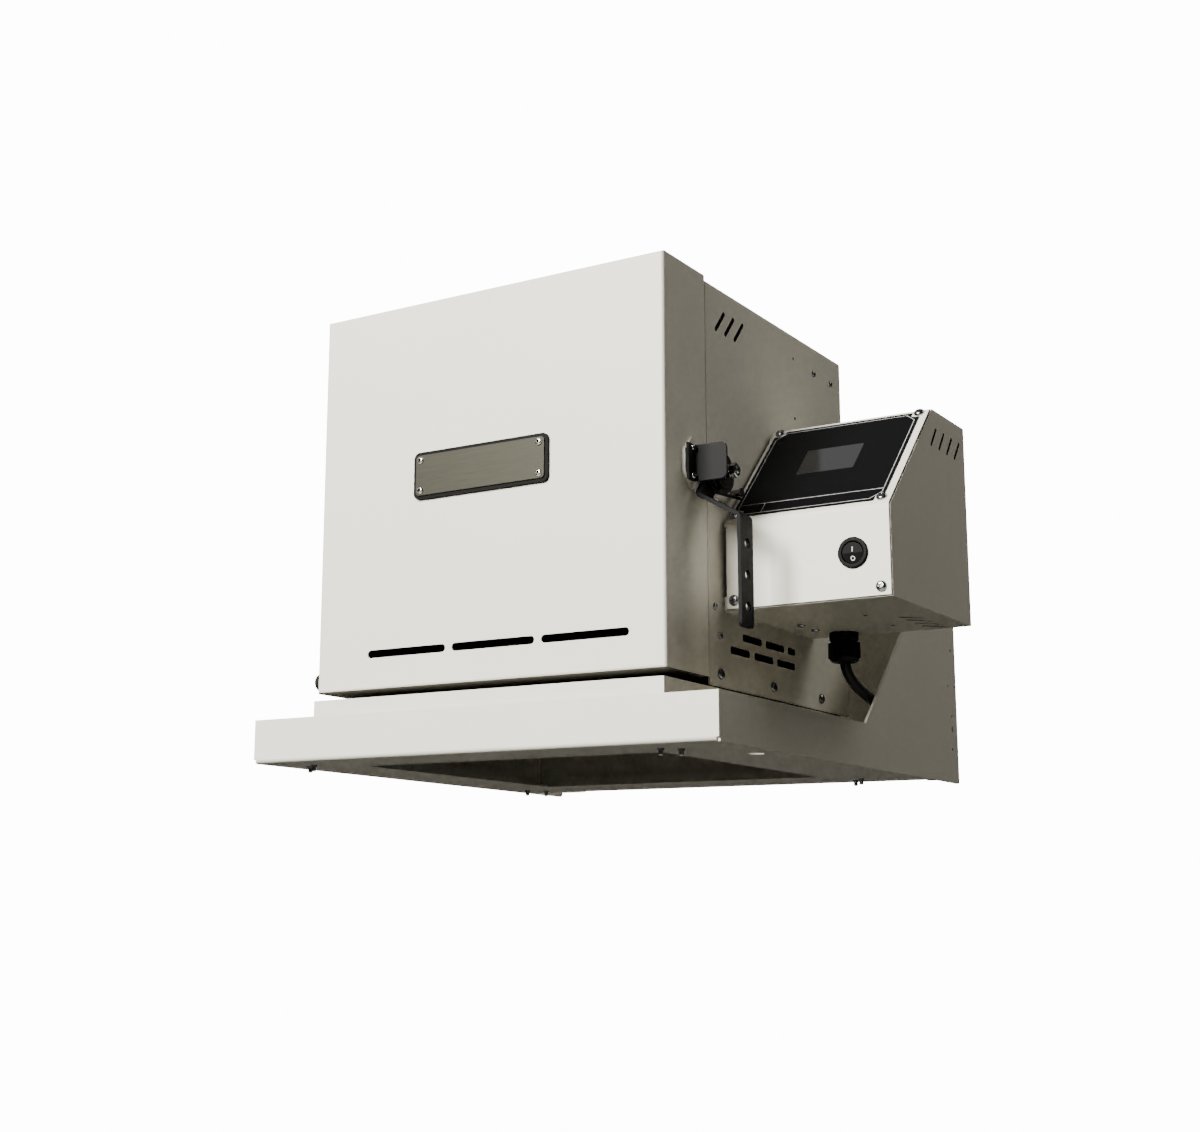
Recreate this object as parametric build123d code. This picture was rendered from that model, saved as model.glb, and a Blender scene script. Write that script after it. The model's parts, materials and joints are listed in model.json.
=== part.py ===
from build123d import *
import math
import os

# Wall-hung glass-pulling kiln with a side control box, millimetres.
# Origin: centre of the four wall bolts, on the wall face. X right, Y into the wall, Z up.

os.makedirs("parts", exist_ok=True)

# Running gaps and sheet
GAP = 0.3
SHEET = 1.2
PLATE = 2.0
BEND = 2.5

# Wall bolts
BOLT_SPAN_X = 376.0
BOLT_SPAN_Z = 150.0
BOLT_HOLE_D = 7.0
BOLT_EDGE = 21.75

# Wall bracket
BASE_W = BOLT_SPAN_X + 2 * BOLT_EDGE
BASE_DEPTH = 464.6
BASE_DROP = 109.6
FASCIA_H = 35.2
BASE_REAR = 62.0
GUSSET_RISE = 204.6
GUSSET_SLOPE_START = 209.2
FLANGE_W = 34.0
OPEN_W = 273.0
OPEN_D = 270.5
OPEN_CX = -3.3
OPEN_FRONT = 60.1
HEM = 8.0
COLLAR_W = 317.4
COLLAR_CX = 6.0
COLLAR_H = 48.0
COLLAR_SETBACK = 5.1
COLLAR_GAP = 1.9
COLLAR_LIP = 14.0
COLLAR_REAR = 128.2
STUD_CX = -12.4
STUD_OUTER = 171.5
STUD_INNER = 160.0
STUD_D = 3.6
STUD_OUT = 5.2
LEDGE_HOLE_X = 22.95
LEDGE_HOLE_Y = 103.4

# Kiln body
BODY_W = 317.2
BODY_H = 313.4
BODY_D = 254.4
BODY_CX = 3.8
WALL_GAP = 131.7
CHAMBER_W = 204.0
CHAMBER_H = 204.0
REAR_INS = 48.4
DRIP_D = 64.0
FLANGE_IN = 14.0
CORNER_CUT = 2.5
SIDE_AIR = 8.0

# Heating
ELEMENT_R = 3.6
ELEMENT_LOW = 19.0
ELEMENT_PITCH = 42.0
ELEMENT_TAIL_IN = 40.4
ELEMENT_INSET = 1.5
THERMO_SET_IN = 54.4
THERMO_D = 6.0
THERMO_IN = 26.0

# Door
DOOR_D = 65.3
SEAM = 1.6
DOOR_OVERHANG = 0.4
DOOR_RISE = 2.3
DOOR_DROP_IN = 4.7
DOOR_AIR = 15.0
PLUG_IN = 8.0
PLUG_GAP = 3.0
DOOR_SLOT_L = 75.2
DOOR_SLOT_H = 6.2
DOOR_SLOT_PITCH = 81.3
DOOR_SLOT_Z = 28.2
DOOR_SLOT_SHIFT = 10.4
PLATE_W = 125.3
PLATE_H = 37.8
PLATE_Z = 166.2
PLATE_SHIFT = -1.9
RIVET_X = 110.6
RIVET_Z = 24.2
BACKING_T = 2.4
BADGE_T = 1.2
BUMPER_Y = 12.5
BUMPER_Z = 10.7
BUMPER_R = 7.0
BUMPER_L = 11.0

# Hinges
HINGE_PIN_D = 5.0
HINGE_R = 4.6
HINGE_H = 56.0
HINGE_LEAF = 30.0
HINGE_T = 2.0
HINGE_INSET = 95.0
HINGE_CLEAR = 0.05

# Latch
LATCH_Z = 156.3
PIVOT_Z = 153.7
LATCH_PLATE_H = 39.0
LATCH_PLATE_T = 3.0
LATCH_FRONT = 39.1
LATCH_BACK = 41.0
LATCH_CHAMFER = 11.0
STOP_W = 27.0
STOP_H = 27.5
STOP_T = 2.0
STOP_Y = 26.2
STOP_DROP = 0.45
STOP_FOOT = 11.3
STOP_SCREW_Y = 4.0
LEVER_T = 3.0
LEVER_CLEAR = 0.6
LEVER_W = 19.5
LEVER_FRONT = 25.6
LEVER_TIP = 121.7
LEVER_JOG = 33.8
LEVER_JOG_TOP = 20.7
LEVER_JOG_DROP = 19.5
LEVER_HOLE_D = 7.5
LEVER_HOLE_PITCH = 23.4
LEVER_HOLE_TOP = 59.9
SPRING_R = 15.1
SPRING_WIRE = 2.6
SPRING_PITCH = 3.05
SPRING_TURNS = 2
HUB_R = 13.5
HUB_L = 9.2
ANCHOR_Y = 35.0
ANCHOR_Z = -8.3
ANCHOR_R = 2.4
LATCH_BOLT_D = 6.0

# Control box
BOX_W = 133.7
BOX_BOTTOM = 53.2
BOX_BEND = 121.0
BOX_H = 159.8
BOX_FRONT = 362.5
BOX_REAR = 200.5
BOX_SLOPE = 44.6
PANEL_T = 1.5
PANEL_INSET = 2.8
PANEL_BEND = 4.0
BOX_FLANGE = 11.0
GLASS_W = 47.2
GLASS_H = 34.4
GLASS_S = 72.8
GLASS_X = 66.9
OVERLAY_T = 0.5
BOARD_W = 96.0
BOARD_H = 78.0
BOARD_DEPTH = 13.0
SWITCH_X = 104.95
SWITCH_Z = 87.0
SWITCH_BEZEL = 23.0
SWITCH_BODY = 20.0
BEZEL_T = 2.0
ROCKER_R = 7.9
ROCKER_TILT = 7.0
ROCKER_PIVOT = 3.0
GLAND_X = 34.45
GLAND_BACK = 18.5

# Cord
CORD_D = 8.3
COIL_R = 43.8
COIL_LAYERS = 4
COIL_HALF_TURNS = 2
COIL_PITCH = 10.8
COIL_LIFT = 8.9
COIL_X = 20.0
COIL_Y = -78.0
PLUG_W = 27.0
PLUG_H = 24.0

# Places worked out from the sizes above
BODY_REAR_Y = -WALL_GAP
BODY_FRONT_Y = BODY_REAR_Y - BODY_D
DOOR_REAR_Y = BODY_FRONT_Y - SEAM
DOOR_FRONT_Y = DOOR_REAR_Y - DOOR_D
BASE_Z = -BASE_DROP
BASE_TOP = BASE_Z + PLATE
COLLAR_TOP = BASE_Z + COLLAR_H
BODY_Z0 = COLLAR_TOP + COLLAR_GAP
BODY_Z1 = BODY_Z0 + BODY_H
BODY_X0 = BODY_CX - BODY_W / 2
BODY_X1 = BODY_CX + BODY_W / 2
DOOR_Z0 = BODY_Z0 + DOOR_DROP_IN
DOOR_Z1 = BODY_Z1 + DOOR_RISE
DOOR_X0 = BODY_X0 - DOOR_OVERHANG
DOOR_X1 = BODY_X1 + DOOR_OVERHANG
INNER_W = BODY_W - 4 * SHEET - 2 * GAP - 2 * SIDE_AIR
INNER_Z0 = BODY_Z0 + SHEET + GAP
INNER_Z1 = BODY_Z1 - SHEET - GAP
CHAMBER_Z0 = (INNER_Z0 + INNER_Z1 - CHAMBER_H) / 2
CHAMBER_Z1 = CHAMBER_Z0 + CHAMBER_H
CHAMBER_Y0 = BODY_FRONT_Y + SHEET + GAP
INS_REAR_Y = BODY_REAR_Y - SHEET - GAP
CHAMBER_Y1 = INS_REAR_Y - REAR_INS
DRIP_Y = (CHAMBER_Y0 + CHAMBER_Y1) / 2
ELEMENT_TAIL_Y = CHAMBER_Y1 - ELEMENT_TAIL_IN
THERMO_Y = CHAMBER_Y1 - THERMO_SET_IN
HINGE_X = DOOR_X0 - HINGE_R - GAP
HINGE_Y = DOOR_REAR_Y + SEAM / 2
LATCH_CZ = DOOR_Z0 + LATCH_Z
PIVOT_CZ = DOOR_Z0 + PIVOT_Z
LATCH_Y = DOOR_REAR_Y
LATCH_X = DOOR_X1 + LATCH_PLATE_T
STOP_FACE_Y = LATCH_Y - STOP_Y
HEAD_X = LATCH_X + LEVER_CLEAR
SPRING_X = HEAD_X + LEVER_T + 1.9
NUT_X = HEAD_X + LEVER_T + HUB_L + GAP
BOX_X0 = BODY_X1 + GAP
BOX_X1 = BOX_X0 + BOX_W
BOX_Z0 = DOOR_Z0 + BOX_BOTTOM
BOX_ZB = DOOR_Z0 + BOX_BEND
BOX_Z1 = BOX_Z0 + BOX_H
ELEMENT_LEVELS = [CHAMBER_Z0 + ELEMENT_LOW + i * ELEMENT_PITCH for i in range(4)]
THERMO_Z = (ELEMENT_LEVELS[1] + ELEMENT_LEVELS[2]) / 2
SLOPE = math.radians(BOX_SLOPE)
SLOPE_L = (BOX_Z1 - BOX_ZB) / math.cos(SLOPE)
PANEL_X0 = BOX_X0 + PANEL_INSET
PANEL_X1 = BOX_X1 - 0.4


def front_plane(y):
    """Plane facing the viewer at depth y; local x is X and local y is Z."""
    return Plane(origin=(0, y, 0), x_dir=(1, 0, 0), z_dir=(0, -1, 0))


def side_plane(x):
    """Plane facing right at x; local x is Y and local y is Z."""
    return Plane(origin=(x, 0, 0), x_dir=(0, 1, 0), z_dir=(1, 0, 0))


def top_plane(z):
    """Level plane at height z."""
    return Plane(origin=(0, 0, z), x_dir=(1, 0, 0), z_dir=(0, 0, 1))


def area(x0, x1, y0, y1):
    """Rectangle between two corners of a sketch plane."""
    return Pos((x0 + x1) / 2, (y0 + y1) / 2) * Rectangle(x1 - x0, y1 - y0)


def block(x0, x1, y0, y1, z0, z1):
    """Solid between two corners."""
    return extrude(top_plane(z0) * area(x0, x1, y0, y1), z1 - z0)


def forward(y, sketch, depth):
    """Extrude a front sketch from depth y toward the viewer."""
    return extrude(front_plane(y) * sketch, depth)


def rightward(x, sketch, depth):
    """Extrude a side sketch from x to the right."""
    return extrude(side_plane(x) * sketch, depth)


def upward(z, sketch, height):
    """Extrude a level sketch from z upward."""
    return extrude(top_plane(z) * sketch, height)


def outline(*points):
    """Filled outline through straight runs."""
    return make_face(Polyline(*points, close=True))


def bent_strip(points, thickness, radius):
    """Section of a folded sheet along the middle of its thickness."""
    return trace(FilletPolyline(*points, radius=radius), line_width=thickness)


def turned(corners, top):
    """Solid turned about Z from a stepped outline, domed from its last corner up to the top."""
    r, rim = corners[-1]
    rise = top - rim
    big = (r * r + rise * rise) / (2 * rise)
    half = math.asin(r / big) / 2
    crown = ThreePointArc((r, rim), (big * math.sin(half), top - big + big * math.cos(half)), (0, top))
    edges = Polyline(*corners).edges() + [crown.edge(), Line((0, top), corners[0]).edge()]
    return revolve(Plane.XZ * make_face(edges), Axis.Z)


def dome_screw(at, direction, head_d=8.2, head_h=2.6, shank_d=3.6, shank_l=5.0):
    """Pan-head screw whose head seats on the point and whose shank points backward."""
    r = head_d / 2
    corners = [(0, -shank_l), (shank_d / 2, -shank_l), (shank_d / 2, 0), (r, 0), (r, head_h * 0.35)]
    return Plane(origin=at, z_dir=direction) * turned(corners, head_h)


def drill(at, direction, diameter, depth=12.0):
    """Straight hole tool centred on the point."""
    return Plane(origin=at, z_dir=direction) * Cylinder(diameter / 2, depth)


def biarc(p1, t1, p2, t2):
    """Two tangent arcs from one point and heading to another."""
    p1, p2 = Vector(*p1), Vector(*p2)
    t1, t2 = Vector(*t1).normalized(), Vector(*t2).normalized()
    gap = p2 - p1
    spread = 2 * (1 - t1.dot(t2))
    lean = gap.dot(t1 + t2)
    if abs(spread) < 1e-9:
        reach = gap.dot(gap) / (4 * gap.dot(t2))
    else:
        reach = (-lean + math.sqrt(lean * lean + spread * gap.dot(gap))) / spread
    q1 = p1 + t1 * reach
    q2 = p2 - t2 * reach
    middle = (q1 + q2) * 0.5
    return [TangentArc(p1, middle, tangent=t1), TangentArc(middle, p2, tangent=(q2 - q1).normalized())]


def tube(path, radius):
    """Round bar swept along a path."""
    start = Plane(origin=path @ 0, z_dir=path % 0)
    return sweep(start * Circle(radius), path=path)


def least_gap(path, diameter, skip):
    """Smallest clear distance between turns of one wound tube."""
    count = 480
    points = [path @ (i / count) for i in range(count + 1)]
    far = int(count * skip / path.length)
    best = 1e9
    for i, a in enumerate(points):
        for b in points[i + far:]:
            best = min(best, (a - b).length)
    return best - diameter


def save(name, shape):
    """Write one named piece."""
    shape.label = name
    export_step(shape, f"parts/{name}.step")


def group(solids):
    """Several separate solids as one piece."""
    return Compound(children=list(solids))


# Wall bracket: floor tray with its fascia and hemmed opening

def wall_bolts():
    """Centres of the four wall bolts in X and Z."""
    return [(sx * BOLT_SPAN_X / 2, sz * BOLT_SPAN_Z / 2) for sx in (-1, 1) for sz in (-1, 1)]


def open_edges():
    """Left, right, front and rear edges of the opening under the kiln."""
    x0 = OPEN_CX - OPEN_W / 2
    y0 = -BASE_DEPTH + OPEN_FRONT
    return x0, x0 + OPEN_W, y0, y0 + OPEN_D


def stud_places():
    """Where the collar's feet are bolted through the tray."""
    front = -BASE_DEPTH + 30.6
    rear = -COLLAR_REAR + 42.2
    places = []
    for side in (-1, 1):
        places.append((STUD_CX + side * STUD_INNER, front))
        places.append((STUD_CX + side * STUD_OUTER, front + 9.5))
        places.append((STUD_CX + side * STUD_INNER, rear))
        places.append((STUD_CX + side * STUD_OUTER, rear - 15.0))
    return places


def base_tray():
    half = BASE_W / 2 - PLATE - GAP / 2
    mid = PLATE / 2
    section = bent_strip(
        [(-BASE_DEPTH + mid, BASE_Z + FASCIA_H), (-BASE_DEPTH + mid, BASE_Z + mid), (-BASE_REAR, BASE_Z + mid)],
        PLATE, BEND,
    )
    tray = rightward(-half, section, 2 * half)
    front = -BASE_DEPTH
    for x0, x1 in ((-BASE_W / 2, -half), (half, BASE_W / 2)):
        tray += block(x0, x1, front, front + PLATE, BASE_Z + BEND + 0.5, BASE_Z + FASCIA_H)
    x0, x1, y0, y1 = open_edges()
    tray -= block(x0, x1, y0, y1, BASE_Z - 1, BASE_TOP + 1)
    t = SHEET
    notch_l, notch_w = 52.0, 17.0
    tray += block(x0 - t, x0, y0 + 4, y1 - notch_l, BASE_Z, BASE_Z + HEM)
    tray += block(x1, x1 + t, y0 + 4, y1 - 4, BASE_Z, BASE_Z + HEM)
    tray += block(x0 + 4, x1 - 4, y0 - t, y0, BASE_Z, BASE_Z + HEM)
    tray += block(x0 + notch_w, x1 - 4, y1, y1 + t, BASE_Z, BASE_Z + HEM)
    for x, y in stud_places():
        tray -= drill((x, y, BASE_Z), (0, 0, 1), STUD_D + GAP)
    tray -= drill((BASE_W / 2 - LEDGE_HOLE_X, -BASE_DEPTH + LEDGE_HOLE_Y, BASE_Z), (0, 0, 1), 12.0)
    return tray


def gusset(side):
    """Side plate with its inward wall flange; side is 1 on the right and -1 on the left."""
    x_out = BASE_W / 2
    top = BASE_Z + GUSSET_RISE
    edge = BASE_Z + FASCIA_H
    rise = top - edge
    sheet = outline(
        (-BASE_DEPTH + PLATE + GAP / 2, BASE_Z), (0, BASE_Z), (0, top), (-GUSSET_SLOPE_START + rise, top),
        (-GUSSET_SLOPE_START, edge), (-BASE_DEPTH + PLATE + GAP / 2, edge),
    )
    plate = rightward(x_out - PLATE, sheet, PLATE)
    low = plate.edges().filter_by(Axis.X).group_by(Axis.Y)[-1].sort_by(Axis.Z)[0]
    plate = fillet(low, 3.0)
    flange = outline(
        (x_out - PLATE, BASE_Z + 4), (x_out - PLATE, top), (x_out - FLANGE_W, top),
        (x_out - FLANGE_W, BASE_Z + 9), (x_out - FLANGE_W + 5, BASE_Z + 4),
    )
    plate += forward(0, flange, PLATE)
    for x, z in wall_bolts():
        if x > 0:
            plate -= drill((x, 0, z), (0, 1, 0), BOLT_HOLE_D)
    for y, z, d in ((11.3, 8.8, 3.0), (19.7, -23.9, 2.4), (4.7, -23.2, 2.4), (13.1, -50.2, 3.0),
                    (13.1, -62.2, 5.0), (14.4, -80.1, 3.0)):
        plate -= drill((x_out - 1, -y, z), (1, 0, 0), d)
    return plate if side > 0 else mirror(plate, Plane.YZ)


def back_plate():
    half = BASE_W / 2 - PLATE - GAP
    low = BASE_Z + 12.0
    top = BASE_Z + GUSSET_RISE
    sheet = area(-half, half, low, top)
    plate = forward(-PLATE, sheet, SHEET)
    for x, z in wall_bolts():
        plate -= drill((x, -PLATE, z), (0, 1, 0), BOLT_HOLE_D)
    return plate


def collar():
    """Open frame under the kiln with an inward lip that carries the body."""
    x0 = COLLAR_CX - COLLAR_W / 2
    x1 = COLLAR_CX + COLLAR_W / 2
    y0 = -BASE_DEPTH + COLLAR_SETBACK
    y1 = -COLLAR_REAR
    t = SHEET
    ring = area(x0, x1, y0, y1) - area(x0 + t, x1 - t, y0 + t, y1 - t)
    frame = upward(BASE_TOP, ring, COLLAR_TOP - BASE_TOP)
    lip_x = COLLAR_LIP
    lip = area(x0, x1, y0, y1) - area(x0 + lip_x, x1 - lip_x, BODY_FRONT_Y + 22.0, y1 - lip_x)
    frame += upward(COLLAR_TOP - t, lip, t)
    left, right = x0 + t, x1 - t
    feet = [
        area(STUD_CX - STUD_OUTER - 8, left, y0 + 15, y0 + 45),
        area(STUD_CX + STUD_INNER - 8, right, y0 + 15, y0 + 45),
        area(STUD_CX - STUD_OUTER - 8, left, y1 - t, y1 + 48),
        area(STUD_CX + STUD_INNER - 8, right, y1 - t, y1 + 48),
    ]
    for foot in feet:
        frame += upward(BASE_TOP, foot, t)
    for x, y in stud_places():
        frame -= drill((x, y, BASE_TOP), (0, 0, 1), STUD_D + GAP)
    for x, y in standoff_places():
        frame -= drill((x, y, COLLAR_TOP), (0, 0, 1), 4.4)
    return frame


def standoff_places():
    """Where the body rests on the collar, in X and Y."""
    inset = 8.0
    x0 = max(BODY_X0, COLLAR_CX - COLLAR_W / 2) + inset
    x1 = min(BODY_X1, COLLAR_CX + COLLAR_W / 2) - inset
    return [(x, y) for x in (x0, x1) for y in (BODY_FRONT_Y + 14.0, BODY_REAR_Y - 14.0)]


def body_standoffs():
    ring = Circle(6.0) - Circle(2.4)
    return group(upward(COLLAR_TOP, Pos(x, y) * ring, COLLAR_GAP) for x, y in standoff_places())


def tray_studs():
    """Clinched studs that hold the collar, each with a small shoulder under the tray."""
    pieces = []
    for x, y in stud_places():
        stud = dome_screw((x, y, BASE_TOP + SHEET), (0, 0, 1), 8.0, 2.6, STUD_D, PLATE + SHEET + STUD_OUT)
        stud = chamfer(stud.edges().sort_by(Axis.Z)[0], 0.6)
        pieces.append(stud + upward(BASE_Z - 1.3, Pos(x, y) * Circle(STUD_D / 2 + 0.8), 1.3))
    return group(pieces)


# Kiln body

def side_vent_tools():
    """Slanted slots at the top and brick-pattern slots low on each side."""
    tools = []
    slant = Rot(0, 0, 49) * SlotOverall(24.6, 3.6)
    for i in range(3):
        tools.append(Pos(BODY_FRONT_Y + 24.5 + 16.1 * i, DOOR_Z0 + 281.2) * slant)
    upper = ((71.7, 32.4), (111.9, 32.4), (142.1, 12.9))
    lower = ((50.7, 31.6), (91.6, 32.5), (131.9, 32.0))
    for back, length in upper:
        tools.append(Pos(BODY_FRONT_Y + back, DOOR_Z0 + 37.3) * RectangleRounded(length, 5.6, 1.6))
    for back, length in lower:
        tools.append(Pos(BODY_FRONT_Y + back, DOOR_Z0 + 25.4) * RectangleRounded(length, 5.6, 1.6))
    return tools


def body_screw_places():
    """Screws on each side of the body in Y and Z with head diameters."""
    low = BODY_Z0 + 9.6
    front, rear = BODY_FRONT_Y + 17.5, BODY_REAR_Y - 56.9
    return [
        (front, low, 8.2), ((front + rear) / 2, low, 8.2), (rear, low, 8.2),
        (BODY_FRONT_Y + 9.7, DOOR_Z0 + 54.9, 5.6), (BODY_FRONT_Y + 17.7, DOOR_Z0 + 33.8, 5.6),
        (BODY_REAR_Y - 56.2, DOOR_Z0 + 284.2, 5.6), (BODY_REAR_Y - 21.8, DOOR_Z0 + 283.7, 5.6),
    ]


def body_shell():
    m = SHEET / 2
    section = bent_strip(
        [(BODY_X0 + m, BODY_Z0), (BODY_X0 + m, BODY_Z1 - m), (BODY_X1 - m, BODY_Z1 - m), (BODY_X1 - m, BODY_Z0)],
        SHEET, BEND,
    )
    shell = forward(BODY_REAR_Y, section, BODY_D)
    for sketch in side_vent_tools():
        shell -= rightward(BODY_X0 - 5, sketch, BODY_W + 10)
    for y, z, head in body_screw_places():
        for x in (BODY_X0, BODY_X1):
            shell -= drill((x, y, z), (1, 0, 0), head * 0.5, 6)
    for back, z in ((96.2, DOOR_Z0 + 286.9), (95.3, DOOR_Z0 + 235.2)):
        shell -= drill((BODY_X1, BODY_REAR_Y - back, z), (1, 0, 0), 2.6, 6)
    shell -= drill((BODY_X1, THERMO_Y, THERMO_Z), (1, 0, 0), 9.0, 6)
    for y, z in element_tails():
        shell -= drill((BODY_X1, y, z), (1, 0, 0), 9.0, 6)
    return shell


def body_screws():
    solids = []
    for y, z, head in body_screw_places():
        for x, way in ((BODY_X0, -1), (BODY_X1, 1)):
            solids.append(dome_screw((x, y, z), (way, 0, 0), head, head * 0.3, head * 0.44, 1.4))
    return group(solids)


def rear_cover():
    m = SHEET / 2
    x0 = BODY_X0 + SHEET + GAP
    x1 = BODY_X1 - SHEET - GAP
    section = bent_strip(
        [(x0 + m, INS_REAR_Y - FLANGE_IN), (x0 + m, BODY_REAR_Y - m), (x1 - m, BODY_REAR_Y - m),
         (x1 - m, INS_REAR_Y - FLANGE_IN)],
        SHEET, BEND,
    )
    cover = upward(BODY_Z0 + SHEET + 2 * GAP, section, BODY_H - 2 * SHEET - 3 * GAP)
    z1 = BODY_Z1 - SHEET
    cut = CORNER_CUT
    for x, way in ((x0, 1), (x1, -1)):
        corner = outline((x, z1 - cut), (x, z1), (x + way * cut, z1))
        cover -= forward(BODY_REAR_Y + 1, corner, 30)
    vent = RectangleRounded(32.0, 5.6, 1.6)
    for row in range(2):
        for i in range(5):
            x = BODY_CX + (i - 2) * 40.3 + (row - 0.5) * 20.0
            z = BODY_Z0 + 30.0 + 11.9 * row
            cover -= forward(BODY_REAR_Y + 2, Pos(x, z) * vent, 5)
    return cover


def bottom_pan():
    m = SHEET / 2
    x0 = BODY_X0 + SHEET + GAP
    x1 = BODY_X1 - SHEET - GAP
    section = bent_strip(
        [(x0 + m, BODY_Z0 + 18), (x0 + m, BODY_Z0 + m), (x1 - m, BODY_Z0 + m), (x1 - m, BODY_Z0 + 18)],
        SHEET, BEND,
    )
    depth = BODY_D - SHEET - FLANGE_IN - 2 * GAP - SHEET - BEND
    pan = forward(INS_REAR_Y - FLANGE_IN - GAP, section, depth)
    pan -= drill((BODY_CX, DRIP_Y, BODY_Z0), (0, 0, 1), DRIP_D + 8, 8)
    for y, z, head in body_screw_places()[:3]:
        for x in (x0, x1):
            pan -= drill((x, y, z), (1, 0, 0), head * 0.5, 6)
    return pan


def front_frame():
    """Bright frame round the chamber mouth."""
    x0 = BODY_X0 + SHEET + GAP
    x1 = BODY_X1 - SHEET - GAP
    ring = area(x0, x1, BODY_Z0 + GAP, BODY_Z1 - SHEET - GAP)
    ring = fillet(ring.vertices(), 3.0)
    mouth = area(BODY_CX - CHAMBER_W / 2, BODY_CX + CHAMBER_W / 2, CHAMBER_Z0, CHAMBER_Z1)
    return forward(BODY_FRONT_Y + SHEET, ring - mouth, SHEET)


def element_tails():
    """Where the element's two ends pass through the right wall, in Y and Z."""
    return [(ELEMENT_TAIL_Y, ELEMENT_LEVELS[0]), (ELEMENT_TAIL_Y, ELEMENT_LEVELS[-1])]


def element_path():
    """One element round three walls at four levels, ends out through the right wall."""
    inset = ELEMENT_INSET
    xr = BODY_CX + CHAMBER_W / 2 + inset
    xl = BODY_CX - CHAMBER_W / 2 - inset
    yr = CHAMBER_Y1 + inset
    yf = CHAMBER_Y0 + 22.0
    x_out = BOX_X0 + 14.0
    z1, z2, z3, z4 = ELEMENT_LEVELS
    points = [
        (x_out, ELEMENT_TAIL_Y, z1), (xr, ELEMENT_TAIL_Y, z1), (xr, yr, z1), (xl, yr, z1), (xl, yf, z1),
        (xl, yf, z2), (xl, yr, z2), (xr, yr, z2), (xr, yf, z2),
        (xr, yf, z3), (xr, yr, z3), (xl, yr, z3), (xl, yf, z3),
        (xl, yf, z4), (xl, yr, z4), (xr, yr, z4), (xr, ELEMENT_TAIL_Y, z4), (x_out, ELEMENT_TAIL_Y, z4),
    ]
    return FilletPolyline(*points, radius=9.0)


def insulation():
    """Five fibre boards, grooved for the element and bored for the glass stream."""
    x0 = BODY_CX - INNER_W / 2
    x1 = BODY_CX + INNER_W / 2
    cx0 = BODY_CX - CHAMBER_W / 2
    cx1 = BODY_CX + CHAMBER_W / 2
    y0, y1, yb = CHAMBER_Y0, CHAMBER_Y1, INS_REAR_Y
    boards = {
        "insulation_floor": block(x0, x1, y0, yb, INNER_Z0, CHAMBER_Z0),
        "insulation_roof": block(x0, x1, y0, yb, CHAMBER_Z1, INNER_Z1),
        "insulation_left": block(x0, cx0, y0, yb, CHAMBER_Z0, CHAMBER_Z1),
        "insulation_right": block(cx1, x1, y0, yb, CHAMBER_Z0, CHAMBER_Z1),
        "insulation_rear": block(cx0, cx1, y1, yb, CHAMBER_Z0, CHAMBER_Z1),
    }
    for name in boards:
        rear = boards[name].faces().sort_by(Axis.Y)[-1]
        if name in ("insulation_floor", "insulation_roof"):
            outer = rear.edges().filter_by(Axis.Z)
        else:
            outer = [e for e in rear.edges().filter_by(Axis.Z) if abs(abs(e.center().X - BODY_CX) - INNER_W / 2) < 0.1]
        if outer:
            boards[name] = chamfer(outer, CORNER_CUT)
    floor = boards["insulation_floor"]
    low = floor.edges().filter_by(Axis.Y).group_by(Axis.Z)[0]
    boards["insulation_floor"] = chamfer(low, CORNER_CUT)
    bore = Pos(BODY_CX, DRIP_Y, CHAMBER_Z0) * Cylinder(DRIP_D / 2, 2 * (CHAMBER_Z0 - INNER_Z0) + 4)
    flare = Pos(BODY_CX, DRIP_Y, CHAMBER_Z0 - 4) * Cone(DRIP_D / 2, DRIP_D / 2 + 8, 8)
    boards["insulation_floor"] = boards["insulation_floor"] - bore - flare
    groove = tube(element_path(), ELEMENT_R + GAP)
    for name in ("insulation_left", "insulation_right", "insulation_rear"):
        boards[name] = boards[name] - groove
    boards["insulation_right"] -= drill((cx1, THERMO_Y, THERMO_Z), (1, 0, 0), THERMO_D + 2 * GAP, 140)
    return boards


def thermocouple():
    x_end = BOX_X0 + 16.0
    x_tip = BODY_CX + CHAMBER_W / 2 - THERMO_IN
    rod = Pos((x_end + x_tip) / 2, THERMO_Y, THERMO_Z) * Rot(0, 90, 0) * Cylinder(THERMO_D / 2, x_end - x_tip)
    return fillet(rod.edges().sort_by(Axis.X)[0], THERMO_D / 2 - 0.2)


def thermocouple_block():
    x0 = BOX_X0 + GAP
    body = block(x0, x0 + 15, THERMO_Y - 12, THERMO_Y + 12, THERMO_Z - 9, THERMO_Z + 9)
    body = fillet(body.edges().filter_by(Axis.X), 3.0)
    body -= drill((x0, THERMO_Y, THERMO_Z), (1, 0, 0), THERMO_D + GAP, 60)
    return body


# Door

def door_shell():
    outer = block(DOOR_X0, DOOR_X1, DOOR_FRONT_Y, DOOR_REAR_Y, DOOR_Z0, DOOR_Z1)
    front = outer.faces().sort_by(Axis.Y)[0]
    outer = fillet(front.edges(), BEND)
    shell = offset(outer, amount=-SHEET, openings=outer.faces().sort_by(Axis.Y)[-1])
    middle = BODY_CX + DOOR_SLOT_SHIFT
    for i in (-1, 0, 1):
        slot = Pos(middle + i * DOOR_SLOT_PITCH, DOOR_Z0 + DOOR_SLOT_Z) * SlotOverall(DOOR_SLOT_L, DOOR_SLOT_H)
        shell -= forward(DOOR_FRONT_Y + 5, slot, 10)
    for x, z in rivet_places():
        shell -= drill((x, DOOR_FRONT_Y, z), (0, 1, 0), 3.2)
    for y, z in latch_screw_places():
        shell -= drill((DOOR_X1, y, z), (1, 0, 0), 3.4, 6)
    return shell


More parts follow.
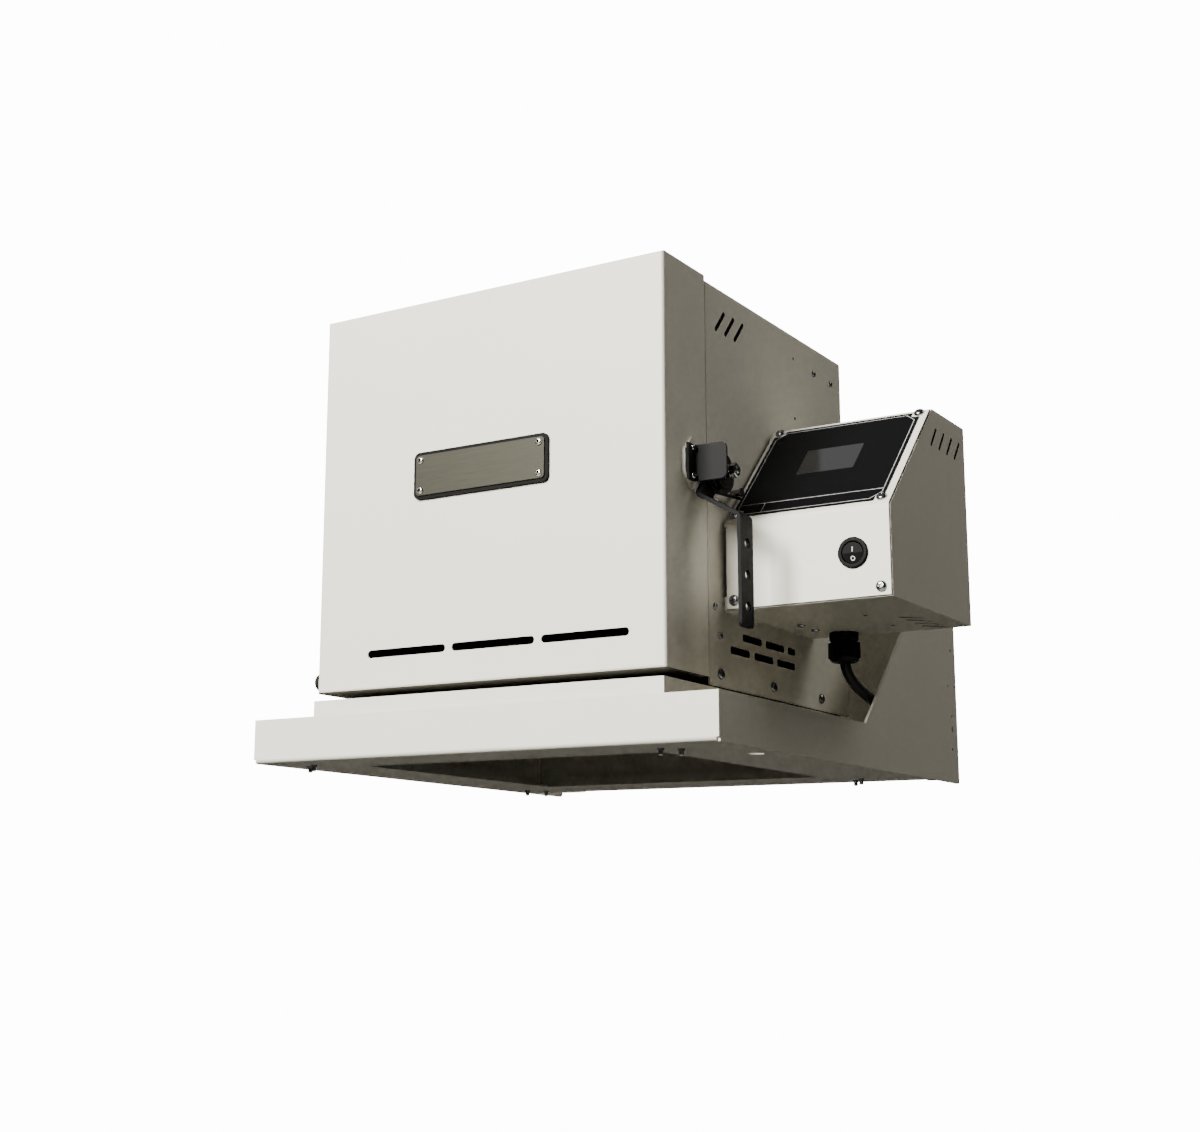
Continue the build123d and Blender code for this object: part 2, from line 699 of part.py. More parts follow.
def door_liner():
    """Frame that closes the door's back and holds its board."""
    x0 = DOOR_X0 + SHEET + GAP
    x1 = DOOR_X1 - SHEET - GAP
    z0 = DOOR_Z0 + SHEET + GAP
    z1 = DOOR_Z1 - SHEET - GAP
    hole_w = CHAMBER_W - 2 * PLUG_GAP + 2 * GAP
    hole_h = CHAMBER_H - 2 * PLUG_GAP + 2 * GAP
    cz = (CHAMBER_Z0 + CHAMBER_Z1) / 2
    frame = area(x0, x1, z0, z1) - Pos(BODY_CX, cz) * Rectangle(hole_w, hole_h)
    plate = forward(DOOR_REAR_Y, frame, SHEET)
    rim = area(x0, x1, z0, z1) - area(x0 + SHEET, x1 - SHEET, z0 + SHEET, z1 - SHEET)
    return plate + forward(DOOR_REAR_Y - SHEET, rim, 12.0)


def door_board():
    """Fibre board with the raised plug that enters the chamber mouth."""
    x0 = DOOR_X0 + 2 * SHEET + 2 * GAP
    x1 = DOOR_X1 - 2 * SHEET - 2 * GAP
    z0 = DOOR_Z0 + 2 * SHEET + 2 * GAP
    z1 = DOOR_Z1 - 2 * SHEET - 2 * GAP
    y0 = DOOR_FRONT_Y + SHEET + DOOR_AIR
    board = block(x0, x1, y0, DOOR_REAR_Y - SHEET, z0, z1)
    w = CHAMBER_W - 2 * PLUG_GAP
    h = CHAMBER_H - 2 * PLUG_GAP
    cz = (CHAMBER_Z0 + CHAMBER_Z1) / 2
    y_tip = BODY_FRONT_Y + PLUG_IN
    plug = forward(y_tip, Pos(BODY_CX, cz) * Rectangle(w, h), y_tip - DOOR_REAR_Y + SHEET)
    plug = chamfer(plug.faces().sort_by(Axis.Y)[-1].edges(), 3.0)
    return board + plug


def rivet_places():
    """Name-plate rivets in X and Z."""
    cx = BODY_CX + PLATE_SHIFT
    cz = DOOR_Z0 + PLATE_Z
    return [(cx + sx * RIVET_X / 2, cz + sz * RIVET_Z / 2) for sx in (-1, 1) for sz in (-1, 1)]


def nameplate(width, height, radius, back, thickness):
    cx = BODY_CX + PLATE_SHIFT
    cz = DOOR_Z0 + PLATE_Z
    plate = forward(back, Pos(cx, cz) * RectangleRounded(width, height, radius), thickness)
    for x, z in rivet_places():
        plate -= drill((x, back, z), (0, 1, 0), 3.2)
    return plate


def nameplate_rivets():
    seat = DOOR_FRONT_Y - BACKING_T - BADGE_T
    shank = BACKING_T + BADGE_T + SHEET
    return group(dome_screw((x, seat, z), (0, -1, 0), 5.4, 1.7, 3.0, shank) for x, z in rivet_places())


def door_bumper():
    """Ribbed rubber stop low on the door's hinge side."""
    ribs = [(0, 0), (BUMPER_R, 0)]
    for i in range(3):
        x = 1.6 + 2.0 * i
        ribs += [(BUMPER_R, x), (BUMPER_R - 0.6, x + 0.4), (BUMPER_R - 0.6, x + 1.0), (BUMPER_R, x + 1.4)]
    ribs += [(BUMPER_R, 7.2)]
    at = (DOOR_X0, DOOR_FRONT_Y + BUMPER_Y, DOOR_Z0 + BUMPER_Z)
    return Plane(origin=at, z_dir=(-1, 0, 0)) * turned(ribs, BUMPER_L)


# Hinges

def hinge_levels():
    """Middle heights of the two hinges."""
    return [DOOR_Z0 + HINGE_INSET, DOOR_Z1 - HINGE_INSET]


def hinge_screw_places(on_door):
    """Leaf screws in Y and Z."""
    way = -1 if on_door else 1
    y = HINGE_Y + way * (HINGE_LEAF * 0.62)
    return [(y, z + dz) for z in hinge_levels() for dz in (-18.0, 18.0)]


def hinge_leaf(on_door):
    """Both leaves of one side, each with its knuckles."""
    way = -1 if on_door else 1
    face_x = DOOR_X0 if on_door else BODY_X0
    third = HINGE_H / 3
    solids = []
    for z in hinge_levels():
        near = HINGE_Y + way * (HINGE_R + 1.0)
        far = HINGE_Y + way * HINGE_LEAF
        leaf = block(face_x - HINGE_T, face_x, min(near, far), max(near, far), z - HINGE_H / 2, z + HINGE_H / 2)
        leaf = fillet(leaf.edges().filter_by(Axis.X).group_by(Axis.Y)[0 if on_door else -1], 4.0)
        spans = [(-1.5, -0.5), (0.5, 1.5)] if on_door else [(-0.5, 0.5)]
        for a, b in spans:
            lo = z + a * third + GAP / 2
            hi = z + b * third - GAP / 2
            knuckle = Pos(HINGE_X, HINGE_Y, (lo + hi) / 2) * Cylinder(HINGE_R, hi - lo)
            y_a, y_b = sorted((HINGE_Y, HINGE_Y + way * (HINGE_R + 4.0)))
            web = block(face_x - HINGE_T, face_x, y_a, y_b, lo, hi)
            knuckle += web
            leaf += knuckle
        leaf -= Pos(HINGE_X, HINGE_Y, z) * Cylinder(HINGE_PIN_D / 2 + HINGE_CLEAR, HINGE_H + 2)
        for y, height in hinge_screw_places(on_door):
            leaf -= drill((face_x, y, height), (1, 0, 0), 3.8, 8)
        solids.append(leaf)
    return group(solids)


def hinge_pins():
    solids = []
    for z in hinge_levels():
        pin = Pos(HINGE_X, HINGE_Y, z) * Cylinder(HINGE_PIN_D / 2, HINGE_H)
        cap = Pos(HINGE_X, HINGE_Y, z + HINGE_H / 2 + 1.0) * Cylinder(HINGE_R - 0.6, 2.0)
        cap = fillet(cap.edges().sort_by(Axis.Z)[-1], 1.0)
        solids.append(pin + cap)
    return group(solids)


def hinge_screws(on_door):
    face_x = DOOR_X0 if on_door else BODY_X0
    return group(
        dome_screw((face_x - HINGE_T, y, z), (-1, 0, 0), 6.4, 1.6, 3.4, HINGE_T - 0.1)
        for y, z in hinge_screw_places(on_door)
    )


# Latch on the door's free side

def latch_screw_places():
    """Two screws through the stop, the plate and the door side, in Y and Z."""
    y = STOP_FACE_Y - STOP_SCREW_Y
    return [(y, LATCH_CZ - 10.6), (y, LATCH_CZ + 10.8)]


def latch_plate():
    """Greige plate across the seam with chamfered corners."""
    h = LATCH_PLATE_H / 2
    c = LATCH_CHAMFER
    y0 = LATCH_Y - LATCH_FRONT
    y1 = LATCH_Y + LATCH_BACK
    sheet = outline(
        (y0 + c, LATCH_CZ - h), (y1 - c, LATCH_CZ - h), (y1, LATCH_CZ - h + c), (y1, LATCH_CZ + h - c),
        (y1 - c, LATCH_CZ + h), (y0 + c, LATCH_CZ + h), (y0, LATCH_CZ + h - c), (y0, LATCH_CZ - h + c),
    )
    plate = rightward(DOOR_X1, sheet, LATCH_PLATE_T)
    for y, z in latch_screw_places():
        plate -= drill((LATCH_X, y, z), (1, 0, 0), 3.4, 12)
    plate -= drill((LATCH_X, LATCH_Y, PIVOT_CZ), (1, 0, 0), LATCH_BOLT_D, 12)
    plate -= drill((LATCH_X, LATCH_Y + ANCHOR_Y, PIVOT_CZ + ANCHOR_Z), (1, 0, 0), 2 * ANCHOR_R, 12)
    return plate


def latch_stop():
    """Black angle that shields the spring and stops the lever."""
    y0 = STOP_FACE_Y - STOP_FOOT
    mid = STOP_T / 2
    corner = (LATCH_X + mid, STOP_FACE_Y + mid)
    section = bent_strip([(LATCH_X + mid, y0), corner, (LATCH_X + STOP_W, STOP_FACE_Y + mid)], STOP_T, 2.0)
    piece = upward(LATCH_CZ - STOP_DROP - STOP_H / 2, section, STOP_H)
    corners = piece.edges().filter_by(Axis.Y).group_by(Axis.X)[-1]
    piece = fillet(corners, 5.0)
    for y, z in latch_screw_places():
        piece -= drill((LATCH_X, y, z), (1, 0, 0), 3.4, 12)
    return piece


def latch_screws():
    return group(
        dome_screw((LATCH_X + STOP_T, y, z), (1, 0, 0), 5.4, 1.6, 3.2, STOP_T + LATCH_PLATE_T + SHEET)
        for y, z in latch_screw_places()
    )


def latch_lever():
    """Flat black bar: a round head, a joggle outward and a straight tail with three holes."""
    front = LATCH_Y - LEVER_FRONT
    x_in = HEAD_X + LEVER_T / 2
    x_out = x_in + LEVER_JOG
    z_a = PIVOT_CZ - LEVER_JOG_TOP
    z_b = z_a - LEVER_JOG_DROP
    z_tip = PIVOT_CZ - LEVER_TIP
    section = bent_strip([(x_in, PIVOT_CZ + 15.0), (x_in, z_a), (x_out, z_b), (x_out, z_tip)], LEVER_T, 4.5)
    arm_back = front + LEVER_W
    bar = forward(LATCH_Y + 16.0, section, LEVER_FRONT + 16.0)
    head = Pos(LATCH_Y, PIVOT_CZ) * Circle(13.4)
    neck = outline(
        (front + 9.0, PIVOT_CZ - 10.0), (LATCH_Y + 9.0, PIVOT_CZ - 9.0),
        (arm_back + 2.0, z_a), (front, z_a - 1.0), (front, z_a + 0.5),
    )
    tail = area(front, arm_back, z_tip, z_a + 0.5)
    tail = fillet(tail.vertices().group_by(Axis.Y)[0], 3.0)
    lever = bar & rightward(HEAD_X - 1, head + neck + tail, LEVER_JOG + LEVER_T + 4)
    hole_y = front + LEVER_W / 2 + 0.4
    for i in range(3):
        z = PIVOT_CZ - LEVER_HOLE_TOP - i * LEVER_HOLE_PITCH
        lever -= drill((x_out, hole_y, z), (1, 0, 0), LEVER_HOLE_D, 12)
    return lever - drill((HEAD_X, LATCH_Y, PIVOT_CZ), (1, 0, 0), LATCH_BOLT_D + 0.12, 14)


def bar_along_x(x0, x1, radius, y=LATCH_Y, z=PIVOT_CZ):
    """Round bar along X."""
    return Pos((x0 + x1) / 2, y, z) * Rot(0, 90, 0) * Cylinder(radius, x1 - x0)


def latch_hub():
    """Spool that carries the spring, fixed to the lever's head."""
    x0 = HEAD_X + LEVER_T
    return bar_along_x(x0, x0 + HUB_L, HUB_R) - bar_along_x(x0 - 1, x0 + HUB_L + 1, LATCH_BOLT_D / 2 + 0.06)


def latch_spring():
    """Torsion spring round the hub; its long leg runs back under the anchor pin."""
    reach = math.hypot(ANCHOR_Y, ANCHOR_Z)
    near = SPRING_R - ANCHOR_R - SPRING_WIRE / 2 - 0.2
    lean = math.asin(near / reach) - math.atan2(-ANCHOR_Z, ANCHOR_Y)
    sweep_angle = lean + SPRING_TURNS * 2 * math.pi
    steps = 4 * SPRING_TURNS
    lead = SPRING_PITCH / (2 * math.pi)

    def point(i):
        a = lean - math.pi / 2 - sweep_angle * i / steps
        x = SPRING_X + lead * sweep_angle * i / steps
        return Vector(x, LATCH_Y + SPRING_R * math.cos(a), PIVOT_CZ + SPRING_R * math.sin(a))

    def heading(i):
        a = lean - math.pi / 2 - sweep_angle * i / steps
        return Vector(lead, SPRING_R * math.sin(a), -SPRING_R * math.cos(a)).normalized()

    first, last = point(0), point(steps)
    edges = [Line(first - heading(0) * (ANCHOR_Y + 4.5), first)]
    for i in range(steps):
        edges += biarc(point(i), heading(i), point(i + 1), heading(i + 1))
    edges.append(Line(last, last + heading(steps) * 9.0))
    path = Wire(edges)
    print("latch spring: least gap", round(least_gap(path, SPRING_WIRE, 60.0), 2))
    return tube(path, SPRING_WIRE / 2)


def latch_bolt():
    """Welded stud that the lever turns on, flush with the plate's back."""
    return chamfer(bar_along_x(DOOR_X1, NUT_X + 11.0, LATCH_BOLT_D / 2).edges().sort_by(Axis.X)[-1], 0.6)


def latch_nuts():
    place = Pos(LATCH_Y, PIVOT_CZ)
    hole = Circle(LATCH_BOLT_D / 2)
    solids = [rightward(NUT_X, place * (Circle(6.0) - hole), 1.0)]
    for i in range(2):
        hexagon = place * Rot(0, 0, 12 + 24 * i) * (RegularPolygon(5.77, 6) - hole)
        nut = rightward(NUT_X + 1.1 + i * 4.3, hexagon, 4.1)
        solids.append(chamfer(nut.faces().sort_by(Axis.X)[-1].outer_wire().edges(), 0.5))
    return group(solids)


def spring_anchor():
    """Headed pin on the plate that holds the spring's long leg down."""
    y = LATCH_Y + ANCHOR_Y
    z = PIVOT_CZ + ANCHOR_Z
    pin = bar_along_x(DOOR_X1, DOOR_X1 + 10.6, ANCHOR_R, y, z)
    return pin + bar_along_x(DOOR_X1 + 10.6, DOOR_X1 + 12.0, ANCHOR_R + 0.9, y, z)


# Control box on the body's right side

def slope_point(s, lift=0.0):
    """Point in Y and Z at distance s up the sloping face, lift proud of the panel's front."""
    y = -BOX_FRONT + s * math.sin(SLOPE) - lift * math.cos(SLOPE)
    z = BOX_ZB + s * math.cos(SLOPE) + lift * math.sin(SLOPE)
    return y, z


def slope_plane(x, s, lift=0.0):
    """Plane on the sloping face; local x is X and local y runs up the slope."""
    y, z = slope_point(s, lift)
    return Plane(origin=(x, y, z), x_dir=(1, 0, 0), z_dir=(0, -math.cos(SLOPE), math.sin(SLOPE)))


def case_outline(inset):
    """Side outline of the case, drawn in by a wall thickness."""
    y_front = -BOX_FRONT + PANEL_T + inset
    shift = PANEL_T + inset
    y_top = -BOX_FRONT + (BOX_Z1 - inset - BOX_ZB) * math.tan(SLOPE) + shift / math.cos(SLOPE)
    z_knee = BOX_ZB - shift * math.tan(SLOPE / 2)
    face = outline(
        (y_front, BOX_Z0 + inset), (y_front, z_knee), (y_top, BOX_Z1 - inset),
        (-BOX_REAR - inset, BOX_Z1 - inset), (-BOX_REAR - inset, BOX_Z0 + inset),
    )
    knee = face.vertices().sort_by_distance(Vertex(y_front, z_knee, 0))[0]
    return fillet(knee, PANEL_BEND - PANEL_T / 2 - inset)


def panel_screw_places():
    """Panel screws as planes with their outward direction."""
    x0 = BOX_X0 + 8.9
    x1 = BOX_X1 - 8.0
    slope = [slope_plane(x, s) for x in (x0, x1) for s in (8.5, 124.2)]
    low = [Plane(origin=(x, -BOX_FRONT, DOOR_Z0 + 60.6), z_dir=(0, -1, 0)) for x in (x0, x1)]
    return slope + low


def underside_screw_places():
    return [(BOX_X0 + 21.9, -BOX_REAR - back) for back in (72.0, 45.5)]


def control_case():
    """Folded case with louvres, open toward the body and under the panel."""
    t = SHEET
    case = rightward(BOX_X0, case_outline(0), BOX_X1 - BOX_X0)
    case -= rightward(BOX_X0 - 1, case_outline(t), BOX_X1 - BOX_X0 + 1 - t)
    f = BOX_FLANGE
    low = area(BOX_X0 - 1, BOX_X1 - f, BOX_Z0 + f, BOX_ZB - 4)
    case -= forward(-BOX_FRONT + 10, low, 20)
    window = Rectangle(BOX_W - f + 1, SLOPE_L - 12 - f)
    centre_x = (BOX_X0 - 1 + BOX_X1 - f) / 2
    case -= extrude(slope_plane(centre_x, (SLOPE_L + 12 - f) / 2, 5) * window, -14)
    slot = Rot(0, 0, 52) * SlotOverall(20.5, 2.8)
    for i in range(4):
        place = Pos(-BOX_REAR - 67.6 + 16.8 * i, DOOR_Z0 + 191.0)
        case -= rightward(BOX_X1 - 6, place * slot, 12)
    low_slot = Rot(0, 0, 46) * SlotOverall(22.0, 2.8)
    for i in range(4):
        case -= upward(BOX_Z0 - 5, Pos(BOX_X1 - 25.2, -BOX_REAR - 62.5 + 16.6 * i) * low_slot, 10)
    gland_x, gland_y = gland_place()
    case -= drill((gland_x, gland_y, BOX_Z0), (0, 0, 1), 20.4)
    for back in (89.0, 34.2):
        case -= drill((BOX_X0 + 82.6, -BOX_REAR - back, BOX_Z0), (0, 0, 1), 3.4, 6)
    for x, y in underside_screw_places():
        case -= drill((x, y, BOX_Z0), (0, 0, 1), 3.8, 6)
    for plane in panel_screw_places():
        case -= plane * Cylinder(1.9, 12)
    return case


def control_panel():
    """Bent front sheet with the display window and switch hole."""
    mid = PANEL_T / 2
    y_low, z_low = -BOX_FRONT + mid, BOX_Z0 + 0.8
    knee = BOX_ZB - mid * math.tan(SLOPE / 2)
    y_top, z_top = slope_point(SLOPE_L - 1.0, -mid)
    section = bent_strip([(y_low, z_low), (y_low, knee), (y_top, z_top)], PANEL_T, PANEL_BEND)
    panel = rightward(PANEL_X0, section, PANEL_X1 - PANEL_X0)
    panel -= extrude(slope_plane(BOX_X0 + GLASS_X, GLASS_S, 4) * Rectangle(GLASS_W + 0.4, GLASS_H + 0.4), -12)
    panel -= drill((BOX_X0 + SWITCH_X, -BOX_FRONT, DOOR_Z0 + SWITCH_Z), (0, 1, 0), SWITCH_BODY + 0.4)
    for plane in panel_screw_places():
        panel -= plane * Cylinder(1.9, 12)
    low, high = BOX_ZB - 0.5, BOX_ZB + 4.5
    notch = outline((PANEL_X0, low), (PANEL_X0 + 5.0, high), (PANEL_X0, high))
    return panel - forward(-BOX_FRONT + 8, notch, 12)


def panel_screws():
    """Six screws in the panel and two in the case's underside."""
    solids = []
    for plane in panel_screw_places():
        solids.append(plane * dome_screw((0, 0, 0), (0, 0, 1), 8.2, 2.6, 3.6, PANEL_T + SHEET + 2.4))
    for x, y in underside_screw_places():
        solids.append(dome_screw((x, y, BOX_Z0), (0, 0, -1), 6.4, 1.8, 3.4, SHEET + 1.4))
    return group(solids)


def display_overlay():
    """Dark film over the sloping face, notched round the four screws."""
    x0, x1 = BOX_X0 + 5.6, BOX_X1 - 6.4
    s0, s1 = 4.8, SLOPE_L - 4.2
    cx, cs = (x0 + x1) / 2, (s0 + s1) / 2
    film = Rectangle(x1 - x0, s1 - s0)
    film = film - Pos(BOX_X0 + GLASS_X - cx, GLASS_S - cs) * Rectangle(GLASS_W, GLASS_H)
    for sx in (BOX_X0 + 8.9, BOX_X1 - 8.0):
        for ss in (8.5, 124.2):
            film = film - Pos(sx - cx, ss - cs) * RectangleRounded(11.0, 11.0, 3.0)
    return extrude(slope_plane(cx, cs) * film, OVERLAY_T)


def display_glass():
    glass = RectangleRounded(GLASS_W - 0.4, GLASS_H - 0.4, 0.8)
    return extrude(slope_plane(BOX_X0 + GLASS_X, GLASS_S, OVERLAY_T) * glass, -(OVERLAY_T + PANEL_T + 0.8))


def board_corners():
    return [(sx * (BOARD_W / 2 - 4), ss * (BOARD_H / 2 - 4)) for sx in (-1, 1) for ss in (-1, 1)]


def controller_board():
    """Circuit board with its display module and chips, on four posts behind the slope."""
    plane = slope_plane(BOX_X0 + GLASS_X, GLASS_S, -PANEL_T - BOARD_DEPTH)
    board = extrude(plane * Rectangle(BOARD_W, BOARD_H), -1.6)
    module_h = BOARD_DEPTH - 0.8 - GAP
    board += extrude(plane * Rectangle(GLASS_W + 8, GLASS_H + 8), module_h)
    board += extrude(plane * (Pos(-36, -24) * Rectangle(12, 16)), 5)
    board += extrude(plane * (Pos(34, 26) * Rectangle(14, 12)), 8)
    board += extrude(plane * (Pos(0, -31) * Rectangle(44, 8)), 9)
    for x, s in board_corners():
        board -= plane * Pos(x, s, 0) * Cylinder(1.7, 8)
    return board


def board_posts():
    plane = slope_plane(BOX_X0 + GLASS_X, GLASS_S, -PANEL_T)
    return group(plane * Pos(x, s, -BOARD_DEPTH / 2) * Cylinder(3.0, BOARD_DEPTH) for x, s in board_corners())


def relay():
    """Block relay on the case's right wall."""
    x1 = BOX_X1 - SHEET
    y0 = -BOX_REAR - 61.5
    z0 = BOX_Z0 + 30.0
    base = block(x1 - 3.0, x1, y0, y0 + 45, z0, z0 + 58)
    body = block(x1 - 25.0, x1 - 3.0, y0, y0 + 45, z0 + 6, z0 + 52)
    body = fillet(body.edges().filter_by(Axis.X), 2.0)
    solid = base + body
    for z in (z0 + 13, z0 + 45):
        for y in (y0 + 10, y0 + 35):
            solid += Pos(x1 - 26.5, y, z) * Rot(0, 90, 0) * Cylinder(3.4, 3.0)
    return solid


def terminal_block():
    """Three-way block on the case's floor."""
    x0, y0 = BOX_X0 + 62.0, -BOX_FRONT + 62.5
    z0 = BOX_Z0 + SHEET
    solid = block(x0, x0 + 20, y0, y0 + 34, z0, z0 + 8)
    for i in range(3):
        y = y0 + 6.0 + 11.0 * i
        solid += block(x0 + 2, x0 + 18, y - 4, y + 4, z0 + 8, z0 + 16)
        solid -= drill((x0 + 6, y, z0 + 16), (0, 0, 1), 3.2, 10)
        solid -= drill((x0 + 14, y, z0 + 16), (0, 0, 1), 3.2, 10)
    return solid


def switch_centre():
    return BOX_X0 + SWITCH_X, DOOR_Z0 + SWITCH_Z


def switch_body():
    """Round housing with its bezel, snap barrel and three tabs."""
    x, z = switch_centre()
    y = -BOX_FRONT
    bezel = forward(y, Pos(x, z) * (Circle(SWITCH_BEZEL / 2) - Circle(ROCKER_R + 0.5)), BEZEL_T)
    bezel = fillet(bezel.faces().sort_by(Axis.Y)[0].outer_wire().edges(), 0.9)
    barrel = forward(y + 12, Pos(x, z) * (Circle(SWITCH_BODY / 2) - Circle(ROCKER_R + 0.5)), 12)
    back = forward(y + 16, Pos(x, z) * Circle(SWITCH_BODY / 2), 4)
    solid = bezel + barrel + back
    for dz in (-6.0, 0.0, 6.0):
        solid += block(x - 2.4, x + 2.4, y + 16, y + 25, z + dz - 0.4, z + dz + 0.4)
    return solid


def switch_rocker():
    """Round rocker, two faces meeting at a shallow ridge, tipped to off."""
    x, z = switch_centre()
    y = -BOX_FRONT - BEZEL_T
    tilt = math.tan(math.radians(ROCKER_TILT))
    r = ROCKER_R
    disc = forward(y + 9.0, Pos(x, z) * Circle(r), 14.0)
    crown = outline(
        (y + 0.2, z), (y + 0.2 + r * tilt, z - r - 1), (y + 6.0, z - r - 1), (y + 8.0, z - 2.0),
        (y + 8.0, z + 2.0), (y + 6.0, z + r + 1), (y + 0.2 + r * tilt, z + r + 1),
    )
    rocker = disc & rightward(x - r - 1, crown, 2 * r + 2)
    return rocker.rotate(Axis((x, y + ROCKER_PIVOT, z), (1, 0, 0)), ROCKER_TILT)


# Cable gland under the case

def gland_place():
    return BOX_X0 + GLAND_X, -BOX_REAR - GLAND_BACK


def gland_body():
    x, y = gland_place()
    base = upward(BOX_Z0 - 7.6, Pos(x, y) * (Circle(11.6) - Circle(5.0)), 7.6)
    base = chamfer(base.edges().group_by(Axis.Z)[0].sort_by(SortBy.LENGTH)[-1], 1.6)
    thread = upward(BOX_Z0, Pos(x, y) * (Circle(9.9) - Circle(5.0)), SHEET + 8.0)
    spigot = upward(BOX_Z0 - 12.0, Pos(x, y) * (Circle(9.0) - Circle(5.0)), 4.4)
    return base + thread + spigot


def gland_nut():
    """Hexagonal dome nut."""
    x, y = gland_place()
    top = BOX_Z0 - 8.4
    bottom = BOX_Z0 - 24.0
    prism = upward(bottom + 3.2, Pos(x, y) * Rot(0, 0, 14) * RegularPolygon(13.2, 6), top - bottom - 3.2)
    cone = Pos(x, y, bottom + 1.6) * Cone(10.2, 12.2, 3.2)
    dome = fillet(cone.edges().group_by(Axis.Z)[0], 1.4)
    round_off = Pos(x, y, (top + bottom) / 2) * Cylinder(12.9, top - bottom)
    nut = (prism + dome) & round_off
    nut -= Pos(x, y, top - 2.0) * Cylinder(9.0 + GAP, 4.1)
    nut -= Pos(x, y, bottom + 8) * Cylinder(CORD_D / 2 + 0.25, 40)
    return nut


def gland_locknut():
    x, y = gland_place()
    ring = Pos(x, y) * (RegularPolygon(13.2, 6) - Circle(9.9 + 0.1))
    return upward(BOX_Z0 + SHEET, ring, 5.0)


# Supply cord, its coil and its plug

CORD_R = CORD_D / 2
LEDGE_Z = BASE_TOP + CORD_R + 0.1
CORD_LEAD = [
    (197.15, -219.0, -19.6), (197.15, -219.0, -27.8), (198.3, -213.6, -36.4), (200.2, -204.5, -43.6),
    (202.0, -192.0, -48.6), (202.6, -176.0, -52.4), (202.2, -160.0, -58.0), (199.0, -145.0, -67.4),
    (191.0, -132.5, -79.0), (177.0, -125.0, -90.5), (159.0, -121.8, -98.2), (138.0, -121.4, -101.6),
    (110.0, -122.6, -103.35), (78.0, -123.2, -103.35), (46.0, -121.8, -103.35), (20.0, -121.8, -103.35),
]
CORD_TAIL = [
    (20.0, -34.2, -76.65), (44.0, -34.2, -76.65), (66.0, -38.0, -79.4), (86.0, -48.0, -85.6),
    (103.0, -61.5, -92.4), (121.0, -68.0, -95.4), (140.0, -68.0, -95.4),
]


def fair_path(points):
    """Straight runs joined by the largest arcs that the rule allows."""
    vectors = [Vector(*p) for p in points]
    radii = []
    for a, b, c in zip(vectors, vectors[1:], vectors[2:]):
        run = min((b - a).length, (c - b).length)
        turn = math.radians((b - a).get_angle(c - b))
        radii.append(0.45 * run / math.tan(turn / 2))
    print("cord radii", [round(r, 1) for r in radii])
    return FilletPolyline(*points, radius=radii)


def cord(points, name):
    path = fair_path(points)
    solid = tube(path, CORD_R)
    ideal = math.pi * CORD_R ** 2 * path.length
    print(name, "length", round(path.length, 1), "volume ratio", round(solid.volume / ideal, 4))
    return solid


def coil_path():
    """Four layers that spiral in and out, climbing where the spiral turns back."""
    edges = []
    radius = COIL_R
    z = LEDGE_Z
    side = -1
    step = -COIL_PITCH / 2
    for layer in range(COIL_LAYERS):
        for _ in range(COIL_HALF_TURNS):
            a = (COIL_X, COIL_Y + side * radius, z)
            radius_next = radius + step
            b = (COIL_X, COIL_Y - side * radius_next, z)
            middle = (radius + radius_next) / 2
            c = (COIL_X + side * middle, (a[1] + b[1]) / 2, z)
            edges.append(ThreePointArc(a, c, b))
            radius = radius_next
            side = -side
        if layer < COIL_LAYERS - 1:
            a = (COIL_X, COIL_Y + side * radius, z)
            b = (COIL_X, COIL_Y - side * radius, z + COIL_LIFT)
            edges += biarc(a, (side, 0, 0), b, (-side, 0, 0))
            z += COIL_LIFT
            side = -side
            step = -step
    return Wire(edges)


def cord_coil():
    path = coil_path()
    solid = tube(path, CORD_R)
    print("coil length", round(path.length, 1), "ends at", path @ 1)
    print("coil: least gap", round(least_gap(path, CORD_D, 3.5 * CORD_D), 2))
    return solid


def plug_body():
    """Moulded plug with a tapered neck, lying on the tray."""
    x, y, z = CORD_TAIL[-1]
    nose = Plane(origin=(x, y, z), x_dir=(0, 1, 0), z_dir=(1, 0, 0))
    sections = [
        nose * Circle(6.2),
        nose.offset(10.0) * Circle(7.6),
        nose.offset(20.0) * RectangleRounded(PLUG_W, PLUG_H, 8.0),
        nose.offset(38.0) * RectangleRounded(PLUG_W, PLUG_H, 8.0),
    ]
    return loft([sections[0], sections[1]]) + loft([sections[1], sections[2]]) + loft([sections[2], sections[3]])


def plug_blades():
    x, y, z = CORD_TAIL[-1]
    x0 = x + 38.0
    blades = [block(x0, x0 + 16.5, y + s * 6.35 - 0.75, y + s * 6.35 + 0.75, z - 1.2, z + 5.2) for s in (-1, 1)]
    earth = Pos(x0 + 9.2, y, z - 6.0) * Rot(0, 90, 0) * Cylinder(2.4, 18.4)
    return group(blades + [earth])


